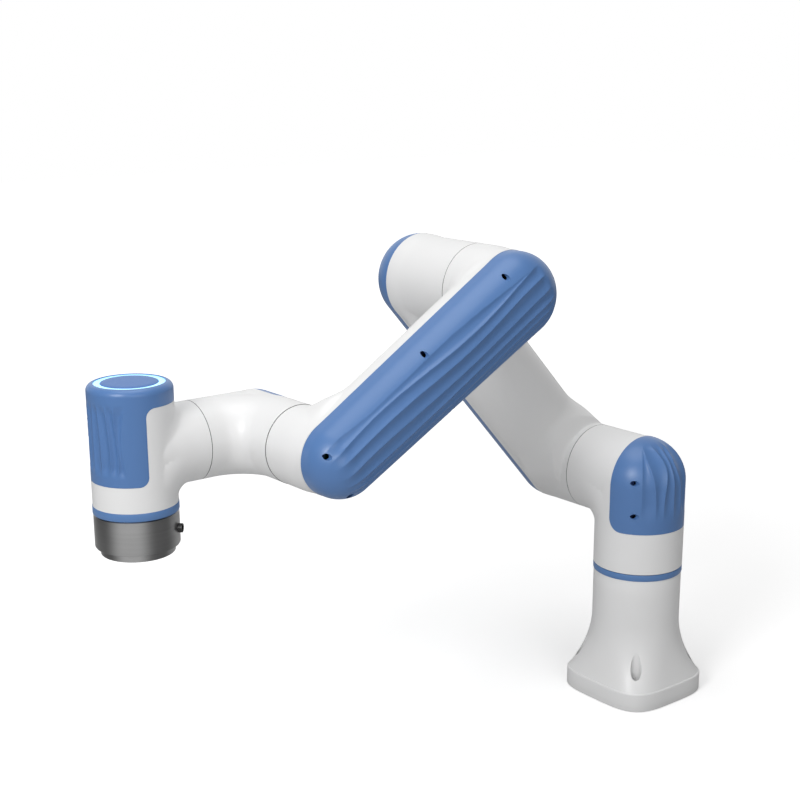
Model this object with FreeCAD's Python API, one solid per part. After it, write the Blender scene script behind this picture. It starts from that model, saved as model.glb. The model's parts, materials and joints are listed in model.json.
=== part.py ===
import FreeCAD, Part
import math
import os

# Six-axis collaborative robot arm, millimetres, +Z up.
# Origin: centre of the base's underside, on the base joint's axis.
# +Y runs along the shoulder, elbow and wrist-pitch axes, and the arm reaches towards -X.

# ---- driving dimensions ------------------------------------------------------------------
SHOULDER_HEIGHT = 223.4
UPPER_ARM_LENGTH = 280.0
FOREARM_LENGTH = 225.0
WRIST_OFFSET = 117.5
WRIST_REACH = 120.0
FLANGE_REACH = 88.0
UPPER_ARM_TILT = 42.0
FOREARM_DROP = 30.8

SEAM_GAP = 0.6
WALL = 3.5
COVER_WALL = 3.0
COVER_GAP = 0.15
RUN = 0.05
SNUG = 0.03

BASE_RADIUS = 44.2
FOOT_HALF_WIDTH = 57.8
FOOT_CORNER = 68.2
FOOT_HEIGHT = 21.0
FOOT_EDGE = 2.0
FLARE_HEIGHT = 60.0
BASE_TOP = 130.2
BASE_RING_TOP = 136.8
BASE_CAVITY_RADIUS = 40.0
BASE_CAVITY_TOP = 84.0
BOLT_RADIUS = 3.3
BOLT_HEAD_RADIUS = 5.5
BOLT_SPACING = 76.0
BOLT_SEAT = 11.0
BOTTOM_PLATE_RADIUS = 46.0
BOTTOM_PLATE_THICKNESS = 4.0
SOCKET_HEIGHT = 44.0
SOCKET_RADIUS = 11.0

SHOULDER_RADIUS = 44.8
J2_RADIUS = 44.0
J2_SEAM = 61.3
SHOULDER_SPLIT = -0.5
SHOULDER_COVER_FLOOR = 179.0
COVER_CORNER = 14.0

UPPER_ARM_RADII = (44.0, 42.2)
UPPER_ARM_FACES = (77.5, 154.5)
UPPER_ARM_ROUND = 35.0
UPPER_ARM_SPLIT = 119.0
J3_RADIUS = 41.0
J3_SEAM = 39.3

FOREARM_RADII = (39.2, 33.4)
FOREARM_FACES = (-42.5, 29.5)
FOREARM_ROUND = 31.0
FOREARM_SPLIT = -4.0
J4_RADIUS = 35.0
J4_SEAM = 45.3

WRIST_RADIUS = 35.0
WRIST_1_RADIUS = 35.3
J5_SEAM = 64.0
WRIST_1_SPLIT = 4.0
WRIST_1_COVER_LENGTH = 35.0
WRIST_2_RADIUS = 36.0
WRIST_2_TOP = 60.0
WRIST_2_EDGE = 5.5
WRIST_2_BOTTOM = -44.2
WRIST_RING_BOTTOM = -51.2
WRIST_2_SPLIT = -5.0
WRIST_2_CAVITY_LOW = -12.0
ABOVE_TOP = 70.0
BUTTON_FLOOR_WALL = 2.5
SHOULDER_SCREW_SIDE = 36.0
SHOULDER_SCREW_HEIGHTS = (8.0, -25.6)
SHOULDER_SCREW_SEAT = 19.0
# Screws of the arm covers: distance along the arm, distance to either side.
UPPER_SCREW_STATIONS = ((312.0, 0.0), (268.0, 34.5), (140.0, 34.5), (-22.0, 27.0))
UPPER_SCREW_SEATS = (19.0, 16.0)
FORE_SCREW_STATIONS = ((-32.0, 0.0), (13.4, 32.3), (118.8, 30.0), (241.3, 21.5))
FORE_SCREW_SEATS = (16.0, 17.0)
WRIST_1_SCREW_SIDE = 26.5
WRIST_1_SCREW_BACK = 14.0
WRIST_1_SCREW_SEAT = 12.0
WRIST_2_BAND = 43.5
WRIST_2_PANEL_FLOOR = -22.0

LIGHT_RADII = (24.4, 29.9)
LIGHT_DEPTH = 3.0
LIGHT_TOP = 59.4
BUTTON_RADIUS = 24.0
BUTTON_THICKNESS = 3.2
BUTTON_STEM_RADIUS = 4.0
BUTTON_FLOOR = 50.0

FLANGE_RADIUS = 36.0
FLANGE_STEP = 6.5
FLANGE_PILOT_RADIUS = 31.5
FLANGE_BORE_RADIUS = 15.75
FLANGE_BORE_DEPTH = 6.0
FLANGE_PCD = 50.0
FLANGE_SCREW_RADIUS = 2.5
FLANGE_SCREW_DEPTH = 9.0
FLANGE_DOWEL_RADIUS = 3.0
CONNECTOR_HEIGHT = 16.5
CONNECTOR_RADIUS = 4.0

# leans a dome's poles out of its visible surface, into the neck and the column
POLE_TILT = 0.3

END_WALL = 5.0
CABLE_RADIUS = 9.0
# gear bore and motor bore of the large joints (1 to 3) and of the small ones (4 to 6)
LARGE_BORES = (35.0, 30.0)
SMALL_BORES = (26.5, 22.5)
GEAR_DEPTH = 28.0
MOTOR_START = 30.0
MOTOR_END = 46.0
BRAKE_END = 56.0
BOARD_AT = 60.0

SCREW_HEAD_RADIUS = 2.6
SCREW_SHANK_RADIUS = 1.5
SCREW_RECESS_RADIUS = 2.8
SCREW_RECESS = 5.0
SCREW_LENGTH = 8.0
BOSS_RADIUS = 5.0

# ---- joint centres -----------------------------------------------------------------------
Vector = FreeCAD.Vector
X = Vector(1, 0, 0)
Y = Vector(0, 1, 0)
Z = Vector(0, 0, 1)
tilt = math.radians(UPPER_ARM_TILT)
drop = math.radians(FOREARM_DROP)
UPPER_DIRECTION = Vector(-math.sin(tilt), 0, math.cos(tilt))
FORE_DIRECTION = Vector(-math.cos(drop), 0, -math.sin(drop))
SHOULDER = Z * SHOULDER_HEIGHT
ELBOW = SHOULDER + UPPER_DIRECTION * UPPER_ARM_LENGTH
WRIST = ELBOW + FORE_DIRECTION * FOREARM_LENGTH
WRIST_1 = WRIST + Y * WRIST_OFFSET
WRIST_2 = WRIST_1 - X * WRIST_REACH


# ---- shape helpers -----------------------------------------------------------------------
def cylinder(radius, start, end):
    along = end - start
    return Part.makeCylinder(radius, along.Length, start, along)


def sphere(radius, centre, pole=Z):
    return Part.makeSphere(radius, centre, pole)


def union(*shapes):
    return shapes[0].multiFuse(list(shapes[1:])).removeSplitter()


def ring(outer, inner, start, end):
    return cylinder(outer, start, end).cut(cylinder(inner, start, end))


def bend(tube_radius, turn_radius, corner, first, second):
    """Quarter torus that rounds the inside of the corner between two directions."""
    centre = corner + first * turn_radius + second * turn_radius
    axis = second.cross(first)
    start = corner + second * turn_radius
    circle = Part.makeCircle(tube_radius, start, second)
    face = Part.Face(Part.Wire([circle]))
    quarter = face.revolve(centre, axis, 90)
    if quarter.common(sphere(0.5, corner + (first + second) * (turn_radius * 0.3))).Volume < 0.01:
        quarter = face.revolve(centre, axis, -90)
    return quarter


def rounded_area(points, radii):
    """Flat face with the given corners, each rounded by its own radius."""
    edges = []
    starts = []
    ends = []
    for i, corner in enumerate(points):
        before = points[i - 1] - corner
        after = points[(i + 1) % len(points)] - corner
        before.normalize()
        after.normalize()
        half = before.getAngle(after) / 2
        setback = radii[i] / math.tan(half)
        starts.append(corner + before * setback)
        ends.append(corner + after * setback)
    for i, corner in enumerate(points):
        if radii[i] > 0:
            inward = (starts[i] + ends[i]) * 0.5 - corner
            inward.normalize()
            before = points[i - 1] - corner
            after = points[(i + 1) % len(points)] - corner
            half = before.getAngle(after) / 2
            middle = corner + inward * (radii[i] / math.sin(half) - radii[i])
            edges.append(Part.Arc(starts[i], middle, ends[i]).toShape())
        following = starts[(i + 1) % len(points)]
        edges.append(Part.makeLine(ends[i], following))
    return Part.Face(Part.Wire(edges))


def arm_tube(start, end, radii, faces, rounding, inset=0.0):
    """Flattened tube between two axes parallel to Y: a tapered stadium with rounded rims."""
    first, second = (radius - inset for radius in radii)
    low, high = faces[0] + inset, faces[1] - inset
    along = end - start
    length = along.Length
    along.normalize()
    across = Y.cross(along)
    lean = math.asin((first - second) / length)
    side = across * math.cos(lean) + along * math.sin(lean)
    other = across * -math.cos(lean) + along * math.sin(lean)
    points = [start + side * first, end + side * second, end + other * second, start + other * first]
    edges = [
        Part.makeLine(points[0], points[1]),
        Part.Arc(points[1], end + along * second, points[2]).toShape(),
        Part.makeLine(points[2], points[3]),
        Part.Arc(points[3], start - along * first, points[0]).toShape(),
    ]
    outline = Part.Face(Part.Wire(edges))
    outline.translate(Y * low)
    prism = outline.extrude(Y * (high - low))
    rims = [edge for edge in prism.Edges if abs(edge.BoundBox.YMax - edge.BoundBox.YMin) < 0.01]
    return prism.makeFillet(rounding - inset, rims)


def squircle_wire(half_width, corner, height, count=48):
    """Closed curve of a rounded square whose sides bow slightly outwards."""
    power = 1.0 / (0.5 - math.log2(corner / half_width))
    points = []
    for i in range(count):
        angle = 2 * math.pi * i / count
        spread = abs(math.cos(angle)) ** power + abs(math.sin(angle)) ** power
        radius = half_width / spread ** (1.0 / power)
        points.append(Vector(radius * math.cos(angle), radius * math.sin(angle), height))
    curve = Part.BSplineCurve()
    curve.interpolate(Points=points, PeriodicFlag=True)
    return Part.Wire([curve.toShape()])


# ---- cover screws ------------------------------------------------------------------------
def screw_set(places, inward, seats):
    """Screws with their recesses, posts, bosses and threads for one cover.

    places are points on the parting plane, and seats say how far outside it each head sits.
    """
    screws, recesses, posts, bosses, threads = [], [], [], [], []
    for place, seat in zip(places, seats):
        head_seat = place - inward * seat
        tip = place + inward * SCREW_LENGTH
        head_top = head_seat - inward * 2.0
        head = cylinder(SCREW_HEAD_RADIUS, head_top, head_seat)
        socket = cylinder(1.25, head_top - inward * 0.1, head_top + inward * 1.2)
        screws.append(head.fuse(cylinder(SCREW_SHANK_RADIUS, head_seat, tip)).cut(socket))
        recesses.append(cylinder(SCREW_RECESS_RADIUS, head_seat - inward * 40, head_seat))
        recesses.append(cylinder(SCREW_SHANK_RADIUS + 0.2, head_seat - inward, place + inward * 0.5))
        posts.append(cylinder(BOSS_RADIUS, head_seat - inward * 20, place - inward * COVER_GAP))
        bosses.append(cylinder(BOSS_RADIUS, place, tip + inward * 1.0))
        threads.append(cylinder(SCREW_SHANK_RADIUS + SNUG, place - inward, tip + inward * 0.1))
    return screws, recesses, posts, bosses, threads


# ---- joint drives ------------------------------------------------------------------------
def joint_drive(name, seat, outward, bores):
    """The pieces of one strain-wave drive. seat is the parent's end face on the joint's axis,
    and outward points from the parent link to the link that it turns."""
    gear_bore, motor_bore = bores
    race = gear_bore - 8.0
    spline = gear_bore - 9.0
    cup = spline - 1.6

    def at(depth):
        return seat - outward * depth

    gear_ring = ring(gear_bore - SNUG, race, at(GEAR_DEPTH), at(1.0))
    gear_ring = gear_ring.cut(ring(race + 3.0, race - 1.0, at(12.0), at(11.0)))
    output = ring(race - RUN, CABLE_RADIUS, at(10.0), at(-SEAM_GAP))
    output = output.fuse(ring(spline, cup, at(26.0), at(9.9)))
    shaft_radius = CABLE_RADIUS - 1.0
    rotor = cylinder(shaft_radius, at(BOARD_AT - 1.0), at(12.0))
    rotor = rotor.fuse(cylinder(cup - RUN, at(24.0), at(15.0)))
    rotor = rotor.fuse(cylinder(motor_bore - 9.0, at(MOTOR_END - 2.0), at(MOTOR_START + 2.0)))
    rotor = rotor.cut(cylinder(shaft_radius - 2.0, at(BOARD_AT), at(11.0)))
    stator = ring(motor_bore - SNUG, motor_bore - 8.5, at(MOTOR_END), at(MOTOR_START))
    slots = 12
    for i in range(slots):
        turn = FreeCAD.Rotation(outward, 360.0 * i / slots)
        side = turn.multVec(outward.cross(X if abs(outward.x) < 0.5 else Z))
        slot_centre = at(MOTOR_END + 1.0) + side * (motor_bore - 6.5)
        stator = stator.cut(Part.makeCylinder(1.1, 18.0, slot_centre, outward))
    brake = ring(motor_bore - 3.0, shaft_radius + RUN, at(BRAKE_END), at(MOTOR_END))
    board = ring(motor_bore - 1.0, shaft_radius + 2.5, at(BOARD_AT + 1.6), at(BOARD_AT))
    posts = 3
    for i in range(posts):
        turn = FreeCAD.Rotation(outward, 360.0 * i / posts)
        side = turn.multVec(outward.cross(X if abs(outward.x) < 0.5 else Z))
        foot = at(BRAKE_END) + side * (motor_bore - 6.0)
        board = board.fuse(cylinder(1.8, foot, foot - outward * (BOARD_AT - BRAKE_END + 0.2)))
        chip = at(BOARD_AT + 1.5) - side * (motor_bore - 6.5)
        board = board.fuse(cylinder(3.0, chip, chip - outward * 2.0))
    return {
        name + "_gear_ring": gear_ring,
        name + "_output_flange": output,
        name + "_rotor": rotor,
        name + "_stator": stator,
        name + "_brake": brake,
        name + "_drive_board": board,
    }


def drive_room(seat, outward, bores):
    """The stepped bore that holds a joint drive."""
    gear = cylinder(bores[0], seat - outward * (GEAR_DEPTH + 0.5), seat + outward)
    motor = cylinder(bores[1], seat - outward * (BOARD_AT + 6.0), seat)
    return gear.fuse(motor)


def motor_sleeve(seat, outward, bores):
    return cylinder(bores[1] + 2.5, seat - outward * MOTOR_END, seat - outward * 20.0)


# ---- envelopes of the links --------------------------------------------------------------
def shoulder_body(inset=0.0, floor=BASE_RING_TOP + SEAM_GAP):
    radius = SHOULDER_RADIUS - inset
    column = cylinder(radius, Z * floor, SHOULDER)
    shape = union(column, sphere(radius, SHOULDER, Y + Z * POLE_TILT))
    if inset == 0:
        neck = cylinder(J2_RADIUS, SHOULDER, SHOULDER + Y * (J2_SEAM - SEAM_GAP / 2))
        shape = union(shape, neck, bend(J2_RADIUS, 50.0, SHOULDER, Z * -1, Y))
    return shape


def upper_arm_body(inset=0.0):
    tube = arm_tube(SHOULDER, ELBOW, UPPER_ARM_RADII, UPPER_ARM_FACES, UPPER_ARM_ROUND, inset)
    middle = sum(UPPER_ARM_FACES) / 2
    start = J2_SEAM + SEAM_GAP / 2 + (END_WALL if inset else 0.0)
    neck = cylinder(J2_RADIUS - inset, SHOULDER + Y * start, SHOULDER + Y * middle)
    if inset:
        return union(tube, neck)
    elbow_neck = cylinder(J3_RADIUS, ELBOW + Y * (J3_SEAM + SEAM_GAP / 2), ELBOW + Y * middle)
    return union(tube, neck, elbow_neck)


def forearm_body(inset=0.0):
    tube = arm_tube(ELBOW, WRIST, FOREARM_RADII, FOREARM_FACES, FOREARM_ROUND, inset)
    start = J3_SEAM - SEAM_GAP / 2 - (END_WALL if inset else 0.0)
    neck = cylinder(J3_RADIUS - inset - (3.0 if inset else 0.0), ELBOW, ELBOW + Y * start)
    if inset:
        return union(tube, neck)
    wrist_neck = cylinder(J4_RADIUS, WRIST + Y * 8, WRIST + Y * (J4_SEAM - SEAM_GAP / 2))
    return union(tube, neck, wrist_neck)


def wrist_1_body(inset=0.0):
    radius = WRIST_1_RADIUS - inset
    start = J4_SEAM + SEAM_GAP / 2 + (END_WALL if inset else 0.0)
    column = cylinder(radius, WRIST + Y * start, WRIST_1)
    shape = union(column, sphere(radius, WRIST_1, Y * POLE_TILT - X))
    if inset == 0:
        neck = cylinder(WRIST_RADIUS, WRIST_1 - X * (J5_SEAM - SEAM_GAP / 2), WRIST_1)
        shape = union(shape, neck, bend(WRIST_RADIUS, 50.0, WRIST_1, X * -1, Y * -1))
    return shape


def wrist_2_body(inset=0.0, low=WRIST_2_BOTTOM):
    radius = WRIST_2_RADIUS - inset
    column = cylinder(radius, WRIST_2 + Z * low, WRIST_2 + Z * (WRIST_2_TOP - inset))
    top_edges = [edge for edge in column.Edges if edge.BoundBox.ZMin > WRIST_2.z + 40]
    column = column.makeFillet(WRIST_2_EDGE if inset == 0 else 2.5, top_edges)
    reach = WRIST_REACH - J5_SEAM - SEAM_GAP / 2 - (END_WALL if inset else 0.0)
    neck = cylinder(WRIST_RADIUS - inset, WRIST_2, WRIST_2 + X * reach)
    if inset:
        return union(column, neck)
    return union(column, neck, bend(WRIST_RADIUS, 44.0, WRIST_2, Z * -1, X))


# ---- cover areas -------------------------------------------------------------------------
def prism(points, radii, direction):
    return rounded_area(points, radii).extrude(direction)


def shoulder_cover_area(gap=0.0):
    far = 70.0
    split = SHOULDER_SPLIT - gap
    floor = SHOULDER_COVER_FLOOR + gap
    points = [
        Vector(-far, split, floor),
        Vector(-far, split, 320.0),
        Vector(-far, -far, 320.0),
        Vector(-far, -far, floor),
    ]
    return prism(points, [COVER_CORNER, 0, 0, 0], X * (2 * far))


def wrist_1_cover_area(gap=0.0):
    far = 60.0
    split = WRIST_1.x + WRIST_1_SPLIT + gap
    floor = WRIST_1.y - WRIST_1_COVER_LENGTH + gap
    bottom = WRIST_1.z - far
    points = [
        Vector(split, floor, bottom),
        Vector(WRIST_1.x + far, floor, bottom),
        Vector(WRIST_1.x + far, WRIST_1.y + far, bottom),
        Vector(split, WRIST_1.y + far, bottom),
    ]
    return prism(points, [10.0, 0, 0, 0], Z * (2 * far))


def wrist_2_cover_area(gap=0.0):
    far = 60.0
    low_y = WRIST_2.y - far
    split = WRIST_2.x + WRIST_2_SPLIT - gap
    band = WRIST_2.z + WRIST_2_BAND + gap
    floor = WRIST_2.z + WRIST_2_PANEL_FLOOR + gap
    top = WRIST_2.z + 80.0
    points = [
        Vector(WRIST_2.x - far, low_y, floor),
        Vector(split, low_y, floor),
        Vector(split, low_y, band),
        Vector(WRIST_2.x + far, low_y, band),
        Vector(WRIST_2.x + far, low_y, top),
        Vector(WRIST_2.x - far, low_y, top),
    ]
    return prism(points, [0, 8.0, 8.0, 0, 0, 0], Y * (2 * far))


def arm_cover_area(split, outward, gap=0.0):
    """Everything on the cover's side of an arm tube's parting plane."""
    far = 600.0
    thickness = 80.0
    edge = split + outward * gap
    low = min(edge, edge + outward * thickness)
    return Part.makeBox(2 * far, thickness, 2 * far, Vector(-far, low, -far))


# ---- links: housing, cover and cover screws ----------------------------------------------
def shell_pair(body, cavity, cover_cavity, area, cover_area, extras, rooms, screws_at):
    """Cuts one link's body into its housing and its cover."""
    screws, recesses, posts, bosses, threads = screw_set(*screws_at)
    housing = body.cut(cavity)
    housing = housing.fuse([part.common(body) for part in extras + bosses])
    housing = housing.cut([area] + rooms + threads)
    cover = body.cut(cover_cavity)
    cover = cover.fuse([post.common(body) for post in posts])
    cover = cover.common(cover_area).cut(recesses)
    return housing, cover, screws


def largest(shape):
    return max(shape.Solids, key=lambda solid: solid.Volume)


def end_hole(centre, direction):
    """Cable hole through a link's end wall."""
    return cylinder(CABLE_RADIUS - 1.0, centre - direction * 2, centre + direction * (END_WALL + 2))


def make_shoulder():
    seat = SHOULDER + Y * (J2_SEAM - SEAM_GAP / 2)
    floor = BASE_RING_TOP + SEAM_GAP
    cavity = shoulder_body(WALL, floor + END_WALL)
    places = []
    for side in (-1, 1):
        for height in SHOULDER_SCREW_HEIGHTS:
            places.append(Vector(side * SHOULDER_SCREW_SIDE, SHOULDER_SPLIT, SHOULDER.z + height))
    return shell_pair(
        shoulder_body(),
        cavity,
        shoulder_body(COVER_WALL, floor),
        shoulder_cover_area(),
        shoulder_cover_area(COVER_GAP),
        [motor_sleeve(seat, Y, LARGE_BORES)],
        [drive_room(seat, Y, LARGE_BORES), end_hole(Z * floor, Z)],
        (places, Y, [SHOULDER_SCREW_SEAT] * len(places)),
    )


def arm_screw_places(start, direction, split, stations):
    across = Y.cross(direction)
    places = []
    for along, aside in stations:
        for side in ((-1, 1) if aside else (1,)):
            places.append(start + direction * along + across * (side * aside) + Y * split)
    return places


def make_upper_arm():
    seat = ELBOW + Y * (J3_SEAM + SEAM_GAP / 2)
    outward = Y * -1
    places = arm_screw_places(SHOULDER, UPPER_DIRECTION, UPPER_ARM_SPLIT, UPPER_SCREW_STATIONS)
    seats = [UPPER_SCREW_SEATS[0]] + [UPPER_SCREW_SEATS[1]] * (len(places) - 1)
    return shell_pair(
        upper_arm_body(),
        upper_arm_body(WALL),
        upper_arm_body(COVER_WALL),
        arm_cover_area(UPPER_ARM_SPLIT, 1),
        arm_cover_area(UPPER_ARM_SPLIT, 1, COVER_GAP),
        [motor_sleeve(seat, outward, LARGE_BORES)],
        [
            drive_room(seat, outward, LARGE_BORES),
            end_hole(SHOULDER + Y * (J2_SEAM + SEAM_GAP / 2), Y),
        ],
        (places, outward, seats),
    )


def make_forearm():
    seat = WRIST + Y * (J4_SEAM - SEAM_GAP / 2)
    places = arm_screw_places(ELBOW, FORE_DIRECTION, FOREARM_SPLIT, FORE_SCREW_STATIONS)
    seats = [FORE_SCREW_SEATS[0]] + [FORE_SCREW_SEATS[1]] * (len(places) - 1)
    return shell_pair(
        forearm_body(),
        forearm_body(WALL),
        forearm_body(COVER_WALL),
        arm_cover_area(FOREARM_SPLIT, -1),
        arm_cover_area(FOREARM_SPLIT, -1, COVER_GAP),
        [motor_sleeve(seat, Y, SMALL_BORES)],
        [
            drive_room(seat, Y, SMALL_BORES),
            end_hole(ELBOW + Y * (J3_SEAM - SEAM_GAP / 2), Y * -1),
        ],
        (places, Y, seats),
    )


def make_wrist_1():
    seat = WRIST_1 - X * (J5_SEAM - SEAM_GAP / 2)
    outward = X * -1
    places = []
    for side in (-1, 1):
        height = WRIST_1.z + side * WRIST_1_SCREW_SIDE
        places.append(Vector(WRIST_1.x + WRIST_1_SPLIT, WRIST_1.y - WRIST_1_SCREW_BACK, height))
    return shell_pair(
        wrist_1_body(),
        wrist_1_body(WALL),
        wrist_1_body(COVER_WALL),
        wrist_1_cover_area(),
        wrist_1_cover_area(COVER_GAP),
        [motor_sleeve(seat, outward, SMALL_BORES)],
        [
            drive_room(seat, outward, SMALL_BORES),
            end_hole(WRIST + Y * (J4_SEAM + SEAM_GAP / 2), Y),
        ],
        (places, X * -1, [WRIST_1_SCREW_SEAT] * len(places)),
    )


def make_wrist_2():
    seat = WRIST_2 + Z * WRIST_RING_BOTTOM
    outward = Z * -1
    body = wrist_2_body()
    housing = body.cut(wrist_2_body(WALL, WRIST_2_CAVITY_LOW))
    housing = housing.fuse(motor_sleeve(seat, outward, SMALL_BORES).common(body))
    neck_end = WRIST_2 + X * (WRIST_REACH - J5_SEAM - SEAM_GAP / 2)
    housing = housing.cut(
        [
            wrist_2_cover_area(),
            drive_room(seat, outward, SMALL_BORES),
            end_hole(neck_end, X * -1),
        ]
    )
    cover = body.cut(wrist_2_body(COVER_WALL, WRIST_2_PANEL_FLOOR - COVER_WALL))
    floor_top = BUTTON_FLOOR + BUTTON_FLOOR_WALL
    floor = cylinder(WRIST_2_RADIUS - 1.0, WRIST_2 + Z * BUTTON_FLOOR, WRIST_2 + Z * floor_top)
    ledge_low = LIGHT_TOP - LIGHT_DEPTH - 3.0
    ledge_ends = (WRIST_2 + Z * ledge_low, WRIST_2 + Z * LIGHT_TOP)
    ledge = ring(WRIST_2_RADIUS - 1.0, LIGHT_RADII[0] + 1.0, *ledge_ends)
    cover = cover.fuse([floor.common(body), ledge.common(body)])
    well = cylinder(LIGHT_RADII[1] + SNUG, WRIST_2 + Z * (LIGHT_TOP - LIGHT_DEPTH), WRIST_2 + Z * ABOVE_TOP)
    button_room = cylinder(LIGHT_RADII[0] + 1.0, WRIST_2 + Z * floor_top, WRIST_2 + Z * ABOVE_TOP)
    guide = cylinder(BUTTON_STEM_RADIUS + RUN, WRIST_2 + Z * (BUTTON_FLOOR - 1), WRIST_2 + Z * ABOVE_TOP)
    cover = cover.common(wrist_2_cover_area(COVER_GAP)).cut([well, button_room, guide])
    return housing, cover


# ---- base --------------------------------------------------------------------------------
def make_base():
    foot = Part.makeLoft(
        [
            squircle_wire(FOOT_HALF_WIDTH, FOOT_CORNER, 0.0),
            squircle_wire(FOOT_HALF_WIDTH, FOOT_CORNER, FOOT_HEIGHT - FOOT_EDGE),
        ],
        True,
        True,
    )
    sections = []
    steps = 7
    for i in range(steps + 1):
        t = i / steps
        swell = (1 - t) ** 2
        half_width = BASE_RADIUS + (FOOT_HALF_WIDTH - FOOT_EDGE - BASE_RADIUS) * swell
        corner = BASE_RADIUS + (FOOT_CORNER - FOOT_EDGE - BASE_RADIUS) * swell
        height = FOOT_HEIGHT - FOOT_EDGE + (FLARE_HEIGHT + FOOT_EDGE) * t
        sections.append(squircle_wire(half_width, corner, height))
    for height in (90.0, 100.0, 115.0, BASE_TOP):
        sections.append(squircle_wire(BASE_RADIUS, BASE_RADIUS, height))
    body = foot.fuse(Part.makeLoft(sections, True, False))
    seat = Z * BASE_RING_TOP
    cuts = [
        cylinder(BASE_CAVITY_RADIUS, Z * -1, Z * BASE_CAVITY_TOP),
        cylinder(BOTTOM_PLATE_RADIUS + 0.1, Z * -1, Z * BOTTOM_PLATE_THICKNESS),
        cylinder(SOCKET_RADIUS + SNUG, Vector(30, 0, SOCKET_HEIGHT), Vector(80, 0, SOCKET_HEIGHT)),
        drive_room(seat, Z, LARGE_BORES),
    ]
    for x_side in (-1, 1):
        for y_side in (-1, 1):
            place = Vector(x_side * BOLT_SPACING / 2, y_side * BOLT_SPACING / 2, 0)
            cuts.append(cylinder(BOLT_RADIUS, place - Z, place + Z * 30))
            cuts.append(cylinder(BOLT_HEAD_RADIUS, place + Z * BOLT_SEAT, place + Z * 90))
    for place in plate_screw_places():
        cuts.append(cylinder(SCREW_SHANK_RADIUS + SNUG, place, place + Z * 11))
    housing = body.fuse(motor_sleeve(seat, Z, LARGE_BORES)).cut(cuts)
    plate = cylinder(BOTTOM_PLATE_RADIUS, Vector(0, 0, 0), Z * BOTTOM_PLATE_THICKNESS)
    screws = []
    for place in plate_screw_places():
        plate = plate.cut(cylinder(SCREW_SHANK_RADIUS + 0.2, place - Z, place + Z * 9))
        plate = plate.cut(cylinder(SCREW_HEAD_RADIUS + 0.2, place - Z, place + Z * 2.2))
        head = cylinder(SCREW_HEAD_RADIUS, place + Z * 0.2, place + Z * 2.2)
        screws.append(head.fuse(cylinder(SCREW_SHANK_RADIUS, place + Z * 2.2, place + Z * 10)))
    trim = ring(BASE_RADIUS + 0.6, LARGE_BORES[0], Z * BASE_TOP, Z * BASE_RING_TOP)
    return housing, plate, screws, trim


def plate_screw_places():
    places = []
    count = 4
    for i in range(count):
        angle = 2 * math.pi * i / count
        places.append(Vector(43.0 * math.cos(angle), 43.0 * math.sin(angle), 0))
    return places


def make_cable_socket():
    """Round panel socket for the arm's power and signal cable."""
    axis_start = Vector(36.0, 0, SOCKET_HEIGHT)
    face = Vector(56.5, 0, SOCKET_HEIGHT)
    barrel = cylinder(SOCKET_RADIUS, axis_start, face)
    barrel = barrel.cut(cylinder(SOCKET_RADIUS - 2.0, Vector(46.0, 0, SOCKET_HEIGHT), face + X))
    insert = cylinder(SOCKET_RADIUS - 3.5, Vector(45.0, 0, SOCKET_HEIGHT), Vector(53.0, 0, SOCKET_HEIGHT))
    pins = []
    for i in range(6):
        angle = 2 * math.pi * i / 6
        spot = Vector(54.0, 4.6 * math.cos(angle), SOCKET_HEIGHT + 4.6 * math.sin(angle))
        pins.append(cylinder(0.9, spot - X * 6, spot + X * 1.5))
    return union(barrel, insert, *pins)


# ---- tool flange -------------------------------------------------------------------------
def make_tool_flange():
    top = WRIST_2 + Z * (WRIST_RING_BOTTOM - SEAM_GAP)
    face = WRIST_2 - Z * FLANGE_REACH
    step = face + Z * FLANGE_STEP
    body = cylinder(FLANGE_RADIUS, step, top)
    body = body.fuse(cylinder(FLANGE_PILOT_RADIUS, face, step))
    cuts = [
        cylinder(24.0, face + Z * 12.0, top - Z * END_WALL),
        cylinder(FLANGE_BORE_RADIUS, face - Z, face + Z * FLANGE_BORE_DEPTH),
        cylinder(CABLE_RADIUS, face, top + Z),
    ]
    for i in range(4):
        angle = math.pi / 4 + i * math.pi / 2
        place = face + Vector(math.cos(angle), math.sin(angle), 0) * (FLANGE_PCD / 2)
        cuts.append(cylinder(FLANGE_SCREW_RADIUS, place - Z, place + Z * FLANGE_SCREW_DEPTH))
    dowel = face + X * (FLANGE_PCD / 2)
    cuts.append(cylinder(FLANGE_DOWEL_RADIUS, dowel - Z, dowel + Z * 7.0))
    side = Vector(1, -1, 0)
    side.normalize()
    spot = step + Z * (CONNECTOR_HEIGHT - 1.5)
    cuts.append(cylinder(CONNECTOR_RADIUS + SNUG, spot + side * 23.0, spot + side * 40.0))
    connector = cylinder(CONNECTOR_RADIUS, spot + side * 26.0, spot + side * (FLANGE_RADIUS + 3.5))
    connector = connector.cut(
        cylinder(CONNECTOR_RADIUS - 1.2, spot + side * (FLANGE_RADIUS - 2.0), spot + side * 41.0)
    )
    pin_base = spot + side * (FLANGE_RADIUS - 3.0)
    for i in range(3):
        angle = 2 * math.pi * i / 3
        across = side.cross(Z) * (1.4 * math.cos(angle)) + Z * (1.4 * math.sin(angle))
        connector = connector.fuse(cylinder(0.4, pin_base + across, pin_base + across + side * 4.5))
    return body.cut(cuts), connector


def make_light_and_button():
    top = WRIST_2 + Z * LIGHT_TOP
    light = ring(LIGHT_RADII[1], LIGHT_RADII[0], top - Z * LIGHT_DEPTH, top)
    face = WRIST_2 + Z * WRIST_2_TOP
    under = face - Z * BUTTON_THICKNESS
    button = cylinder(BUTTON_RADIUS, under, face)
    edges = [edge for edge in button.Edges if edge.BoundBox.ZMin > face.z - 0.1]
    button = button.makeFillet(0.8, edges)
    button = button.fuse(cylinder(BUTTON_STEM_RADIUS, WRIST_2 + Z * (BUTTON_FLOOR - 2.0), under))
    return light, button


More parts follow.
